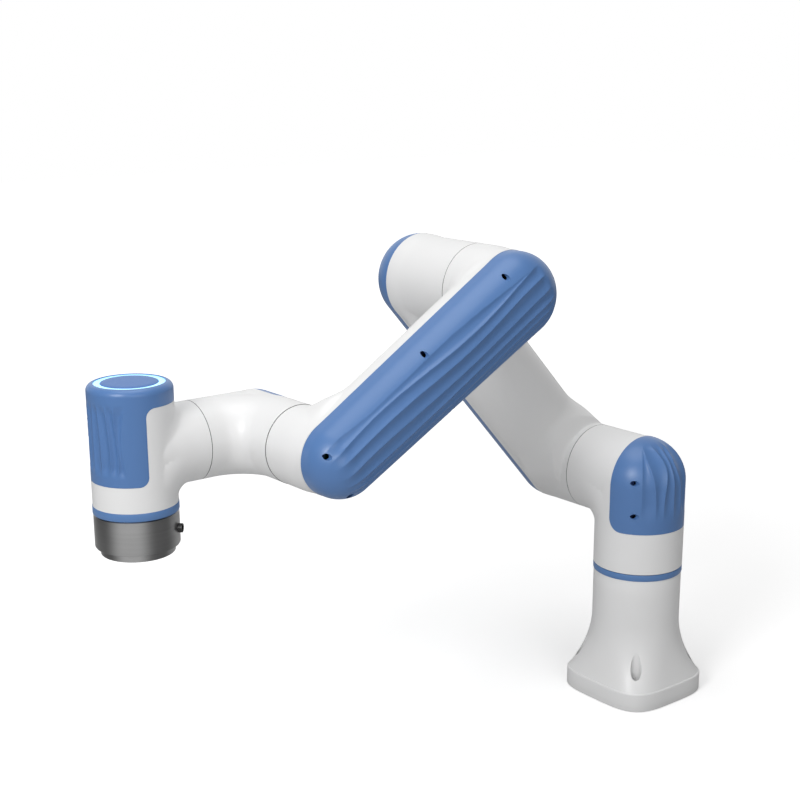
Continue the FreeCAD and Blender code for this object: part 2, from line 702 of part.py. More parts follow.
# ---- assembly ----------------------------------------------------------------------------
def build():
    nodes = {}
    housing, plate, plate_screws, trim = make_base()
    nodes["base_housing"] = largest(housing)
    nodes["base_bottom_plate"] = plate
    nodes["base_plate_screws"] = Part.makeCompound(plate_screws)
    nodes["base_trim_ring"] = trim
    nodes["base_cable_socket"] = make_cable_socket()
    makers = {
        "shoulder": make_shoulder,
        "upper_arm": make_upper_arm,
        "forearm": make_forearm,
        "wrist_1": make_wrist_1,
    }
    for link, maker in makers.items():
        housing, cover, screws = maker()
        nodes[link + "_housing"] = largest(housing)
        nodes[link + "_cover"] = largest(cover)
        nodes[link + "_cover_screws"] = Part.makeCompound(screws)
    housing, cover = make_wrist_2()
    nodes["wrist_2_housing"] = largest(housing)
    nodes["wrist_2_cover"] = largest(cover)
    nodes["wrist_trim_ring"] = ring(
        WRIST_2_RADIUS + 0.4,
        SMALL_BORES[0],
        WRIST_2 + Z * WRIST_RING_BOTTOM,
        WRIST_2 + Z * WRIST_2_BOTTOM,
    )
    nodes["tool_flange"], nodes["tool_connector"] = make_tool_flange()
    nodes["light_ring"], nodes["teach_button"] = make_light_and_button()
    half_gap = SEAM_GAP / 2
    drives = [
        ("j1", Z * BASE_RING_TOP, Z, LARGE_BORES),
        ("j2", SHOULDER + Y * (J2_SEAM - half_gap), Y, LARGE_BORES),
        ("j3", ELBOW + Y * (J3_SEAM + half_gap), Y * -1, LARGE_BORES),
        ("j4", WRIST + Y * (J4_SEAM - half_gap), Y, SMALL_BORES),
        ("j5", WRIST_1 - X * (J5_SEAM - half_gap), X * -1, SMALL_BORES),
        ("j6", WRIST_2 + Z * WRIST_RING_BOTTOM, Z * -1, SMALL_BORES),
    ]
    for name, seat, outward, bores in drives:
        nodes.update(joint_drive(name, seat, outward, bores))
    return nodes


os.makedirs("parts", exist_ok=True)
for node, shape in build().items():
    if not shape.isValid():
        print("invalid:", node)
    print(node, len(shape.Solids), round(shape.Volume))
    shape.exportStep(os.path.join("parts", node + ".step"))
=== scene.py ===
import json
import math

import bmesh
import bpy
import numpy as np
from mathutils import Matrix, Vector


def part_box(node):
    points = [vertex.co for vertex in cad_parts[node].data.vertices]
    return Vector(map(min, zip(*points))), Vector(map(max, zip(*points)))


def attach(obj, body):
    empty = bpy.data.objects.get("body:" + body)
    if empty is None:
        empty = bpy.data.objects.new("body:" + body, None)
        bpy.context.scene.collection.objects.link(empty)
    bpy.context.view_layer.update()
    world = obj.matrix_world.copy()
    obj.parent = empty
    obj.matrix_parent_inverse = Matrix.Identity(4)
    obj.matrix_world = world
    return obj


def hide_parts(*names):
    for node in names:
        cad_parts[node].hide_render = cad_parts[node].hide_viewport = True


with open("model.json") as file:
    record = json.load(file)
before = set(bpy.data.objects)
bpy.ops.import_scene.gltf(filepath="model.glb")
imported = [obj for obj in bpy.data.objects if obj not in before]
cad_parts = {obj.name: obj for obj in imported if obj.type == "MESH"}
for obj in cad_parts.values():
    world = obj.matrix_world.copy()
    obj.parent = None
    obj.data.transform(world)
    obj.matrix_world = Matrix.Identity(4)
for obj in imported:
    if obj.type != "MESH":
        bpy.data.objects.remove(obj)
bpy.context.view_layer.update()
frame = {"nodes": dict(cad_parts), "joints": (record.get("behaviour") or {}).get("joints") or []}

# Collaborative robot arm. Shapes are worked out in millimetres and built in metres.
MM = 0.001

# ---- places, from the frame ----------------------------------------------------------------
JOINT = {j["name"]: np.array(j["pos_m"]) / MM for j in frame["joints"] if j["type"] == "hinge"}
SHOULDER = JOINT["shoulder_lift"]
ELBOW = JOINT["elbow_bend"]
WRIST = JOINT["wrist_pitch"]
WRIST_1 = JOINT["wrist_turn"]
WRIST_2 = JOINT["flange_turn"]
X, Y, Z = np.eye(3)


def low(node, axis):
    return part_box(node)[0][axis] / MM


def high(node, axis):
    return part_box(node)[1][axis] / MM


# ---- driving dimensions, millimetres -------------------------------------------------------
# STEP is the size of a mesh's cells. RADII run from an arm tube's first joint to its second, FACES
# are its two flat sides along Y, ROUND its rim and SPLIT where its cover meets its housing. SEAM_3
# and SEAM_4 are places along Y, and SEAM_5 is its distance from wrist 1's upright axis.
SHELL_STEP = 2.0
COVER_STEP = 0.85
INSIDE_STEP = 4.0
SHELL_WALL = 3.5
COVER_WALL = 3.0
PARTING_GAP = 0.15

SHOULDER_RADIUS = 44.8
NECK_2_RADIUS = 44.0
NECK_3_RADIUS = 41.0
NECK_4_RADIUS = 35.0
WRIST_RADIUS = 35.0
WRIST_1_RADIUS = 35.3
WRIST_2_RADIUS = 36.0
UPPER_RADII = (44.0, 42.2)
UPPER_FACES = (77.5, 154.5)
UPPER_ROUND = 35.0
UPPER_SPLIT = 119.0
FORE_RADII = (39.2, 33.4)
FORE_FACES = (-42.5, 29.5)
FORE_ROUND = 31.0
FORE_SPLIT = -4.0
SEAM_3 = 39.3
SEAM_4 = 45.3
SEAM_5 = 64.0
HALF_SEAM = 0.3
LARGE_BORE = 35.2
SMALL_BORE = 26.7
BORE_DEPTH = 28.5
CABLE_HOLE = 9.0
CABLE_HOLE_DEPTH = 10.0


# ---- distance fields -----------------------------------------------------------------------
def unit(vector):
    return vector / np.linalg.norm(vector)


def smooth(value, start, end):
    t = np.clip((value - start) / (end - start), 0, 1)
    return t * t * (3 - 2 * t)


def round_union(a, b, radius):
    """Union of two fields with a concave fillet of the given radius."""
    return np.maximum(radius, np.minimum(a, b)) - np.hypot(
        np.maximum(radius - a, 0), np.maximum(radius - b, 0)
    )


def capped(across, along, rounding):
    """Field of a shape from its distance to the side and to the ends, with rounded rims."""
    a, b = across + rounding, along + rounding
    return np.minimum(np.maximum(a, b), 0) + np.hypot(np.maximum(a, 0), np.maximum(b, 0)) - rounding


def cylinder_field(p, start, end, radius, rounding=0.0):
    middle = (start + end) / 2
    half = np.linalg.norm(end - start) / 2
    axis = unit(end - start)
    q = p - middle
    along = q @ axis
    across = np.linalg.norm(q - along[..., None] * axis, axis=-1)
    return capped(across - radius, np.abs(along) - half, rounding)


def sphere_field(p, centre, radius):
    return np.linalg.norm(p - centre, axis=-1) - radius


def bend_field(p, corner, first, second, turn, tube):
    """Quarter torus rounding the inside corner between two directions."""
    centre = corner + turn * (first + second)
    q = p - centre
    a, b = q @ first, q @ second
    side = np.cross(first, second)
    ring = np.hypot(np.hypot(a, b) - turn, q @ side) - tube
    return np.maximum(ring, np.maximum(a, b))


def stadium_field(p, start, end, radii, faces, rounding):
    """Flattened tapered tube between two axes parallel to Y."""
    length = np.linalg.norm(end - start)
    along_axis = (end - start) / length
    q = p - start
    along = q @ along_axis
    across = np.abs(q @ np.cross(Y, along_axis))
    lean = (radii[0] - radii[1]) / length
    up = math.sqrt(1 - lean * lean)
    key = along * up - across * lean
    side = np.where(
        key < 0,
        np.hypot(across, along) - radii[0],
        np.where(
            key > length * up,
            np.hypot(across, along - length) - radii[1],
            across * up + along * lean - radii[0],
        ),
    )
    middle = (faces[0] + faces[1]) / 2
    return capped(side, np.abs(p[..., 1] - middle) - (faces[1] - faces[0]) / 2, rounding)


# ---- link bodies ---------------------------------------------------------------------------
# The necks run past their ends here, and are cut square later.
OVERRUN = 12.0
TURN = 50.0
WRIST_2_TURN = 44.0
CREASE = 0.4
NECK_CREASE = 1.0
NECK_GROWTH = 24.0
EASE_ALONG = (-6.0, 36.0)
EASE_INWARD = 14.0
EASE_SEAM = 13.0
UPPER_FILLETS = (30.0, 26.0)
FORE_FILLETS = (12.0, 27.0)
TOP_FILLET = 5.0
TOP_FILLET_RISE = (5.0, 25.0)
SHOULDER_FLOOR = low("shoulder_housing", 2)
SHOULDER_END = high("shoulder_housing", 1)
SEAM_2 = SHOULDER_END + 2 * HALF_SEAM
FORE_END_3 = SEAM_3 - HALF_SEAM
FORE_END_4 = SEAM_4 - HALF_SEAM
UPPER_END_3 = SEAM_3 + HALF_SEAM
WRIST_1_START = SEAM_4 + HALF_SEAM
WRIST_1_REACH = SEAM_5 - HALF_SEAM
WRIST_2_REACH = (WRIST_1 - WRIST_2)[0] - SEAM_5 - HALF_SEAM
WRIST_2_TOP = 60.0
WRIST_2_BOTTOM = -44.2
WRIST_2_COLUMN_START = -80.0
WRIST_2_ROUND = 6.0


def shoulder_field(p):
    column = cylinder_field(p, Z * (SHOULDER_FLOOR - OVERRUN), SHOULDER, SHOULDER_RADIUS)
    dome = sphere_field(p, SHOULDER, SHOULDER_RADIUS)
    neck = cylinder_field(p, SHOULDER, SHOULDER + Y * (SHOULDER_END + OVERRUN), NECK_2_RADIUS)
    bend = bend_field(p, SHOULDER, -Z, Y, TURN, NECK_2_RADIUS)
    return round_union(np.minimum(column, dome), np.minimum(neck, bend), CREASE)


def grown_neck(p, joint, split, sign, reach, radii):
    """Neck along Y whose radius grows out of the arm tube's own end."""
    q = p - joint
    radius = radii[0] + (radii[1] - radii[0]) * smooth(sign * (p[..., 1] - split), 0, NECK_GROWTH)
    across = np.hypot(q[..., 0], q[..., 2]) - radius
    outer = sign * (p[..., 1] - reach)
    inner = sign * (split - p[..., 1])
    return np.maximum(across, np.maximum(outer, inner))


def ease(p, joint, other, split, sign, end):
    """One where a neck meets the arm's side towards its other end, zero at its seam and elsewhere."""
    along = (p - joint) @ unit(other - joint)
    inward = smooth(sign * (p[..., 1] - split), 0, EASE_INWARD)
    return smooth(along, *EASE_ALONG) * inward * smooth(sign * (end - p[..., 1]), 0, EASE_SEAM)


def upper_tube(p):
    return stadium_field(p, SHOULDER, ELBOW, UPPER_RADII, UPPER_FACES, UPPER_ROUND)


def upper_arm_field(p):
    radii = list(zip(UPPER_RADII, (NECK_2_RADIUS, NECK_3_RADIUS)))
    neck = grown_neck(p, SHOULDER, UPPER_SPLIT, -1, SEAM_2 - OVERRUN, radii[0])
    elbow_neck = grown_neck(p, ELBOW, UPPER_SPLIT, -1, UPPER_END_3 - OVERRUN, radii[1])
    near_2 = ease(p, SHOULDER, ELBOW, UPPER_SPLIT, -1, SEAM_2)
    near_3 = ease(p, ELBOW, SHOULDER, UPPER_SPLIT, -1, UPPER_END_3)
    body = round_union(upper_tube(p), neck, NECK_CREASE + UPPER_FILLETS[0] * near_2)
    return round_union(body, elbow_neck, NECK_CREASE + UPPER_FILLETS[1] * near_3)


def fore_tube(p):
    return stadium_field(p, ELBOW, WRIST, FORE_RADII, FORE_FACES, FORE_ROUND)


def forearm_field(p):
    radii = list(zip(FORE_RADII, (NECK_3_RADIUS, NECK_4_RADIUS)))
    neck = grown_neck(p, ELBOW, FORE_SPLIT, 1, FORE_END_3 + OVERRUN, radii[0])
    wrist_neck = grown_neck(p, WRIST, FORE_SPLIT, 1, FORE_END_4 + OVERRUN, radii[1])
    near_3 = ease(p, ELBOW, WRIST, FORE_SPLIT, 1, FORE_END_3)
    near_4 = ease(p, WRIST, ELBOW, FORE_SPLIT, 1, FORE_END_4)
    body = round_union(fore_tube(p), neck, NECK_CREASE + FORE_FILLETS[0] * near_3)
    return round_union(body, wrist_neck, NECK_CREASE + FORE_FILLETS[1] * near_4)


def wrist_1_field(p):
    column = cylinder_field(p, WRIST + Y * (WRIST_1_START - OVERRUN), WRIST_1, WRIST_1_RADIUS)
    dome = sphere_field(p, WRIST_1, WRIST_1_RADIUS)
    neck = cylinder_field(p, WRIST_1 - X * (WRIST_1_REACH + OVERRUN), WRIST_1, WRIST_RADIUS)
    bend = bend_field(p, WRIST_1, -X, -Y, TURN, WRIST_RADIUS)
    return round_union(np.minimum(column, dome), np.minimum(neck, bend), CREASE)


def wrist_2_column(p):
    start, end = WRIST_2 + Z * WRIST_2_COLUMN_START, WRIST_2 + Z * WRIST_2_TOP
    return cylinder_field(p, start, end, WRIST_2_RADIUS, WRIST_2_ROUND)


def wrist_2_field(p):
    neck = cylinder_field(p, WRIST_2, WRIST_2 + X * (WRIST_2_REACH + OVERRUN), WRIST_RADIUS)
    bend = bend_field(p, WRIST_2, -Z, X, WRIST_2_TURN, WRIST_RADIUS)
    top_side = smooth(p[..., 2] - WRIST_2[2], *TOP_FILLET_RISE)
    return round_union(wrist_2_column(p), np.minimum(neck, bend), CREASE + TOP_FILLET * top_side)


# ---- flutes of the covers ------------------------------------------------------------------
# Each flute lies between two crests. A crest is a line of (station, distance across) points, in
# millimetres on the arms and in millimetres and degrees round the shoulder and wrist 2.
FLUTE_DEPTH = 2.3
CREST_SOFTNESS = 0.35


def crest(points, degree=4):
    """Smooth line through a few listed points, as a function."""
    along, across = zip(*points)
    fit = np.polyfit(along, across, min(degree, len(points) - 1))
    first, last = min(along), max(along)
    return lambda value: np.polyval(fit, np.clip(value, first, last))


def between(value, rise, fall):
    """One between two soft ends, zero outside them."""
    return smooth(value, *rise) * smooth(value, *fall)


def scallops(across, crests, slope):
    """Depth of the concave flutes between neighbouring crests."""
    soft = CREST_SOFTNESS
    depth = np.zeros_like(across)
    for upper, lower in zip(crests[:-1], crests[1:]):
        width = np.maximum(upper - lower, 0.01)
        a = np.clip(upper - across, 0, width)
        sides = (np.hypot(a, soft) - soft) * (np.hypot(width - a, soft) - soft)
        depth = np.maximum(depth, np.minimum(slope, 4 * FLUTE_DEPTH / width) * sides / width)
    return depth


FORE_CRESTS = [
    crest([
        (-14, 26.0), (20, 27.4), (60, 29.9), (95, 31.0),
        (135, 30.2), (172, 28.6), (200, 29.4), (222, 31.4),
    ], 5),
    crest([
        (-14, 25.2), (0, 24.4), (40, 20.2), (75, 19.0),
        (110, 20.4), (150, 23.0), (185, 24.1), (238, 20.4),
    ], 5),
    crest([(-20, 12.6), (30, 12.2), (65, 10.0), (100, 9.4), (150, 12.2), (185, 12.8), (240, 11.2)], 5),
    crest([(-10, -0.2), (30, -1.2), (80, -2.4), (120, -2.0), (180, 0.2), (235, -0.4)]),
    crest([(-10, -10.5), (60, -11.0), (140, -12.0), (235, -10.5)]),
    crest([(-10, -17.5), (60, -18.5), (140, -20.0), (235, -18.0)]),
    crest([(-10, -24.0), (60, -24.5), (140, -26.0), (235, -24.0)]),
    crest([(-10, -30.5), (235, -31.5)]),
]
FORE_LENGTH = np.linalg.norm(WRIST - ELBOW)
FORE_SLOPE = 0.9
FORE_RANGE = ((-21, -12), (246, 222))


def arm_flutes(p, start, end, radii, face, outward, rounding):
    """Long flowing flutes on an arm tube's cover. face is its flat side, outward its normal's sign."""
    length = np.linalg.norm(end - start)
    along_axis = (end - start) / length
    q = p - start
    station, across = q @ along_axis, q @ np.cross(Y, along_axis)
    radius = radii[0] + (radii[1] - radii[0]) * np.clip(station / length, 0, 1)
    flat = radius - rounding
    below = (face - p[..., 1]) * outward
    turn = np.arctan2(np.maximum(np.abs(across) - flat, 0), rounding - below)
    walk = np.where(turn > 0, flat + rounding * turn, np.abs(across)) * np.sign(across)
    place_along = station * FORE_LENGTH / length
    lines = [line(place_along) for line in FORE_CRESTS]
    return scallops(walk, lines, FORE_SLOPE) * between(place_along, *FORE_RANGE)


SHOULDER_CRESTS = [
    crest([(262, 47.0), (245, 47.0), (225, 45.5), (205, 46.0), (195, 46.0)], 2),
    crest([(262, 46.0), (256, 42.0), (245, 34.0), (235, 31.0), (225, 29.0), (205, 27.0), (190, 27.0)]),
    crest([(262, 22.0), (256, 13.0), (245, 10.0), (235, 11.5), (215, 14.5), (200, 16.5), (190, 17.0)]),
]
WRIST_CRESTS = [
    crest([(44, 54.0), (32, 50.0), (20, 48.0), (10, 48.0), (0, 49.5), (-12, 53.0)], 3),
    crest([(46, 38.0), (35, 39.0), (20, 41.0), (5, 42.5), (-5, 43.0), (-14, 40.0)], 3),
    crest([(46, 26.0), (30, 29.0), (10, 31.0), (-5, 32.0), (-14, 30.0)], 3),
    crest([(46, 12.0), (25, 15.0), (5, 17.0), (-14, 15.0)], 3),
]
SHOULDER_SLOPE = 0.85
SHOULDER_RANGE = ((190, 212), (266, 254))
WRIST_SLOPE = 1.35
WRIST_RANGE = ((-15, -5), (49, 38))


def round_flutes(q, radius, facing, crests, z, slope):
    """Upright flutes round a column, the same on both sides of the way it faces."""
    angle = np.degrees(np.arctan2(q @ np.cross(Z, facing), q @ facing))
    lines = [line(z) for line in crests]
    lines += [np.zeros_like(z)] + [-line for line in reversed(lines)]
    arc_length = radius * math.pi / 180
    return scallops(angle * arc_length, [line * arc_length for line in lines], slope)


def shoulder_flutes(p):
    z = p[..., 2]
    depth = round_flutes(p - SHOULDER, SHOULDER_RADIUS, -Y, SHOULDER_CRESTS, z, SHOULDER_SLOPE)
    return depth * between(z, *SHOULDER_RANGE)


def wrist_2_flutes(p):
    q = p - WRIST_2
    z = q[..., 2]
    depth = round_flutes(q, WRIST_2_RADIUS, -X, WRIST_CRESTS, z, WRIST_SLOPE)
    return depth * between(z, *WRIST_RANGE)


def shoulder_cover_field(p):
    return shoulder_field(p) + shoulder_flutes(p)


def forearm_cover_field(p):
    return fore_tube(p) + arm_flutes(p, ELBOW, WRIST, FORE_RADII, FORE_FACES[0], -1, FORE_ROUND)


def upper_arm_cover_field(p):
    radii = UPPER_RADII[::-1]
    return upper_tube(p) + arm_flutes(p, ELBOW, SHOULDER, radii, UPPER_FACES[1], 1, UPPER_ROUND)


def wrist_2_cover_field(p):
    return wrist_2_field(p) + wrist_2_flutes(p)


# ---- meshes from fields --------------------------------------------------------------------
CORNERS = [(i, j, k) for i in (0, 1) for j in (0, 1) for k in (0, 1)]
BATCHES = 16
EDGE_VALUE = 0.3
SETTLING_ROUNDS = 4
LEAST_SLOPE = 0.25
LONGEST_MOVE = 0.7
SHADING_LIMIT = 0.12
SHADING_REACH = 0.05
SHADING_FACING = 0.6
SMOOTH_ANGLE = 30.0


def cell_edges():
    edges = []
    for a in CORNERS:
        for axis in range(3):
            if a[axis] == 0:
                b = list(a)
                b[axis] = 1
                edges.append((a, tuple(b)))
    return edges


def window(grid, corner, cells):
    return grid[tuple(slice(c, c + n) for c, n in zip(corner, cells))]


def gradient(field, p, reach=0.02):
    parts = []
    for axis in (X, Y, Z):
        parts.append(field(p + axis * reach) - field(p - axis * reach))
    return np.stack(parts, -1) / (2 * reach)


def net(field, lowest, highest, step):
    """Closed quad mesh of the surface where field is zero: vertices and quads."""
    counts = np.ceil((highest - lowest) / step).astype(int) + 1
    axes = [lowest[i] + step * np.arange(counts[i]) for i in range(3)]
    grid = np.stack(np.meshgrid(*axes, indexing="ij"), -1)
    value = np.concatenate([field(part) for part in np.array_split(grid, BATCHES)])
    for axis in range(3):
        ends = [slice(None)] * 3
        ends[axis] = [0, -1]
        value[tuple(ends)] = np.maximum(value[tuple(ends)], EDGE_VALUE * step)
    inside = value < 0
    cells = counts - 1
    total = np.zeros(tuple(cells) + (3,))
    hits = np.zeros(tuple(cells))
    for a, b in cell_edges():
        va, vb = window(value, a, cells), window(value, b, cells)
        crossed = window(inside, a, cells) != window(inside, b, cells)
        t = np.where(crossed, va / np.where(crossed, va - vb, 1), 0)
        for axis in range(3):
            total[..., axis] += crossed * (a[axis] + t * (b[axis] - a[axis]))
        hits += crossed
    used = hits > 0
    index = -np.ones(tuple(cells), int)
    index[used] = np.arange(used.sum())
    vertices = lowest + step * (np.argwhere(used) + total[used] / hits[used][:, None])
    quads = []
    for axis in range(3):
        second, third = (axis + 1) % 3, (axis + 2) % 3
        head = [slice(1, -1)] * 3
        head[axis] = slice(0, -1)
        tail = list(head)
        tail[axis] = slice(1, None)
        starts, ends = inside[tuple(head)], inside[tuple(tail)]
        where = np.argwhere(starts != ends)
        flip = starts[starts != ends]
        where[:, second] += 1
        where[:, third] += 1
        ring = []
        for ds, dt in ((-1, -1), (0, -1), (0, 0), (-1, 0)):
            cell = where.copy()
            cell[:, second] += ds
            cell[:, third] += dt
            ring.append(index[cell[:, 0], cell[:, 1], cell[:, 2]])
        ring = np.stack(ring, 1)
        quads.append(np.where(flip[:, None], ring, ring[:, ::-1]))
    quads = np.concatenate(quads)
    free = np.all((vertices > lowest + step) & (vertices < highest - step), axis=1)
    for _ in range(SETTLING_ROUNDS):
        slope = gradient(field, vertices)
        length = np.maximum((slope ** 2).sum(1), LEAST_SLOPE)
        move = slope * (field(vertices) / length)[:, None]
        size = np.linalg.norm(move, axis=1, keepdims=True)
        move *= np.minimum(1, LONGEST_MOVE * step / np.maximum(size, 1e-9))
        vertices = np.where(free[:, None], vertices - move, vertices)
    return vertices, quads


def make_object(name, vertices, faces):
    mesh = bpy.data.meshes.new(name)
    mesh.from_pydata((np.asarray(vertices) * MM).tolist(), [], [list(map(int, f)) for f in faces])
    mesh.validate()
    thing = bpy.data.objects.new(name, mesh)
    bpy.context.scene.collection.objects.link(thing)
    return thing


def net_object(name, field, lowest, highest, step):
    vertices, quads = net(field, np.array(lowest, float), np.array(highest, float), step)
    return make_object(name, vertices, quads)


def combine(thing, tools, operation="DIFFERENCE"):
    """Boolean of thing with each tool in turn; the tools are removed."""
    for tool in tools:
        modifier = thing.modifiers.new("cut", "BOOLEAN")
        modifier.operation = operation
        modifier.solver = "MANIFOLD"
        modifier.object = tool
        bpy.context.view_layer.update()
        result = bpy.data.meshes.new_from_object(
            thing.evaluated_get(bpy.context.evaluated_depsgraph_get())
        )
        thing.modifiers.clear()
        old = thing.data
        result.name = old.name
        thing.data = result
        bpy.data.meshes.remove(old)
        mesh = tool.data
        bpy.data.objects.remove(tool)
        bpy.data.meshes.remove(mesh)


def shade(thing, field):
    """Smooth normals taken from the field, and flat ones on cut faces."""
    mesh = thing.data
    count = len(mesh.vertices)
    points = np.empty(count * 3)
    mesh.vertices.foreach_get("co", points)
    points = points.reshape(-1, 3) / MM
    corner_vertex = np.empty(len(mesh.loops), int)
    mesh.loops.foreach_get("vertex_index", corner_vertex)
    polygons = len(mesh.polygons)
    starts, sizes = np.empty(polygons, int), np.empty(polygons, int)
    mesh.polygons.foreach_get("loop_start", starts)
    mesh.polygons.foreach_get("loop_total", sizes)
    flat = np.empty(polygons * 3)
    mesh.polygons.foreach_get("normal", flat)
    flat = flat.reshape(-1, 3)
    face_of = np.repeat(np.arange(polygons), sizes)
    normals = flat[face_of].copy()
    near = np.abs(field(points)) < SHADING_LIMIT
    slope = np.zeros((count, 3))
    slope[near] = gradient(field, points[near], SHADING_REACH)
    slope /= np.maximum(np.linalg.norm(slope, axis=1, keepdims=True), 1e-9)
    facing = (slope[corner_vertex] * flat[face_of]).sum(1)
    good = near[corner_vertex] & (facing > SHADING_FACING)
    whole = np.add.reduceat(good.astype(int), starts) == sizes
    use = whole[face_of]
    normals[use] = slope[corner_vertex][use]
    mesh.polygons.foreach_set("use_smooth", np.ones(polygons, bool))
    mesh.normals_split_custom_set(normals.tolist())
    mesh.update()


# ---- cutters and turned pieces -------------------------------------------------------------
def prism(name, outline, direction, length):
    """Closed prism of an outline of 3-D points, swept along direction."""
    outline = [np.array(point, float) for point in outline]
    n = len(outline)
    vertices = outline + [point + direction * length for point in outline]
    area = sum(np.cross(outline[i], outline[(i + 1) % n]) for i in range(n))
    faces = [list(range(n))[::-1], list(range(n, 2 * n))]
    faces += [[i, (i + 1) % n, n + (i + 1) % n, n + i] for i in range(n)]
    if area @ direction < 0:
        faces = [face[::-1] for face in faces]
    return make_object(name, vertices, faces)


def arc(centre, radius, first, second, start, end, steps=12):
    """Points of an arc, angles in degrees from first towards second."""
    points = []
    for i in range(steps + 1):
        angle = math.radians(start + (end - start) * i / steps)
        points.append(centre + radius * (math.cos(angle) * first + math.sin(angle) * second))
    return points


def side_vectors(axis):
    other = X if abs(axis[0]) < 0.9 else Y
    first = unit(np.cross(axis, other))
    return first, np.cross(axis, first)


def turned(name, base, axis, profile, sides):
    """Turned piece: profile is a closed loop of (radius, height along axis)."""
    first, second = side_vectors(axis)
    vertices, faces = [], []
    n = len(profile)
    for i in range(sides):
        angle = 2 * math.pi * i / sides
        out = math.cos(angle) * first + math.sin(angle) * second
        vertices += [base + out * radius + axis * height for radius, height in profile]
    for i in range(sides):
        j = (i + 1) % sides
        for k in range(n):
            m = (k + 1) % n
            faces.append([i * n + k, j * n + k, j * n + m, i * n + m])
    thing = make_object(name, vertices, faces)
    bm = bmesh.new()
    bm.from_mesh(thing.data)
    bmesh.ops.remove_doubles(bm, verts=bm.verts, dist=1e-7)
    bmesh.ops.recalc_face_normals(bm, faces=bm.faces)
    bm.to_mesh(thing.data)
    bm.free()
    smooth_by_angle(thing)
    return thing


def smooth_by_angle(thing, degrees=SMOOTH_ANGLE):
    for polygon in thing.data.polygons:
        polygon.use_smooth = True
    thing.data.set_sharp_from_angle(angle=math.radians(degrees))


def rod(name, start, end, radius, sides):
    """Plain closed cylinder, for cutting."""
    axis = unit(end - start)
    first, second = side_vectors(axis)
    ring = []
    for i in range(sides):
        angle = 2 * math.pi * i / sides
        ring.append(start + radius * (math.cos(angle) * first + math.sin(angle) * second))
    return prism(name, ring, axis, np.linalg.norm(end - start))


# ---- materials -----------------------------------------------------------------------------
def set_inputs(node, values):
    for name, value in values.items():
        node.inputs[name].default_value = value
    return node


def colour_mix(nodes, values):
    mixer = nodes.new("ShaderNodeMix")
    mixer.data_type = "RGBA"
    return set_inputs(mixer, values)


def join(links, *wires):
    """Links nodes. A wire is the source and its output, then the target and its input."""
    for source, output, target, entry in wires:
        links.new(source.outputs[output], target.inputs[entry])


def material(name, colour, roughness, metallic=0.0, vary=0.04, grain=900.0, bump=0.02, coat=0.0,
             stretch=(1, 1, 1), emission=None, glow=0.0):
    """Principled material whose colour, roughness and fine bump come from noise."""
    made = bpy.data.materials.new(name)
    made.use_nodes = True
    nodes, links = made.node_tree.nodes, made.node_tree.links
    shader = nodes["Principled BSDF"]
    set_inputs(shader, {"Metallic": metallic, "Coat Weight": coat, "Coat Roughness": 0.25})
    where = nodes.new("ShaderNodeTexCoord")
    scale = set_inputs(nodes.new("ShaderNodeMapping"), {"Scale": stretch})
    broad = set_inputs(nodes.new("ShaderNodeTexNoise"), {"Scale": 14.0, "Detail": 4.0})
    fine = set_inputs(nodes.new("ShaderNodeTexNoise"), {"Scale": grain, "Detail": 3.0})
    darker = [c * (1 - vary) for c in colour] + [1]
    lighter = [min(1, c * (1 + vary)) for c in colour] + [1]
    tint = colour_mix(nodes, {"A": darker, "B": lighter})
    rough = nodes.new("ShaderNodeMapRange")
    set_inputs(rough, {"To Min": roughness * 0.85, "To Max": roughness * 1.15})
    relief = set_inputs(nodes.new("ShaderNodeBump"), {"Strength": bump, "Distance": 0.0003})
    join(
        links,
        (where, "Object", scale, "Vector"),
        (scale, "Vector", broad, "Vector"),
        (scale, "Vector", fine, "Vector"),
        (broad, "Fac", tint, "Factor"),
        (tint, "Result", shader, "Base Color"),
        (fine, "Fac", rough, "Value"),
        (rough, "Result", shader, "Roughness"),
        (fine, "Fac", relief, "Height"),
        (relief, "Normal", shader, "Normal"),
    )
    if emission:
        set_inputs(shader, {"Emission Color": list(emission) + [1], "Emission Strength": glow})
    return made


WHITE = material("white_paint", (0.78, 0.78, 0.78), 0.42, vary=0.012, bump=0.03, coat=0.15)
BLUE = material("blue_plastic", (0.085, 0.190, 0.425), 0.36, vary=0.05, bump=0.04)
BLUE_TRIM = material("blue_trim", (0.095, 0.205, 0.44), 0.38, vary=0.04, bump=0.03)
BLUE_DISC = material("blue_disc", (0.05, 0.16, 0.44), 0.42, vary=0.04, grain=300.0, bump=0.0)
LIGHT = material("light_diffuser", (0.45, 0.75, 0.95), 0.35, vary=0.02,
                 emission=(0.30, 0.66, 1.0), glow=0.75)
TURNED = material("turned_metal", (0.50, 0.50, 0.50), 0.30, metallic=1.0, vary=0.10, grain=60.0,
                  bump=0.05, stretch=(1, 1, 40))
DARK_SCREW = material("dark_screw", (0.03, 0.06, 0.17), 0.45, metallic=0.3, vary=0.08, bump=0.05)
SEAM = material("seam_face", (0.10, 0.10, 0.10), 0.60, vary=0.05)
BLACK = material("black_plastic", (0.012, 0.012, 0.013), 0.40, vary=0.06, bump=0.05)
PLATE = material("plate_metal", (0.55, 0.55, 0.56), 0.38, metallic=1.0, vary=0.06, bump=0.06,
                 stretch=(1, 30, 1))
GEAR = material("gear_steel", (0.50, 0.50, 0.52), 0.30, metallic=1.0, vary=0.06, bump=0.05)
OUTPUT = material("output_steel", (0.60, 0.60, 0.62), 0.25, metallic=1.0, vary=0.05, bump=0.05)
ROTOR = material("rotor_steel", (0.45, 0.45, 0.48), 0.28, metallic=1.0, vary=0.06, bump=0.05)
STATOR = material("stator_copper", (0.48, 0.20, 0.09), 0.35, metallic=0.9, vary=0.15, bump=0.10)
BRAKE = material("brake_body", (0.10, 0.10, 0.11), 0.50, metallic=0.6, vary=0.08, bump=0.08)
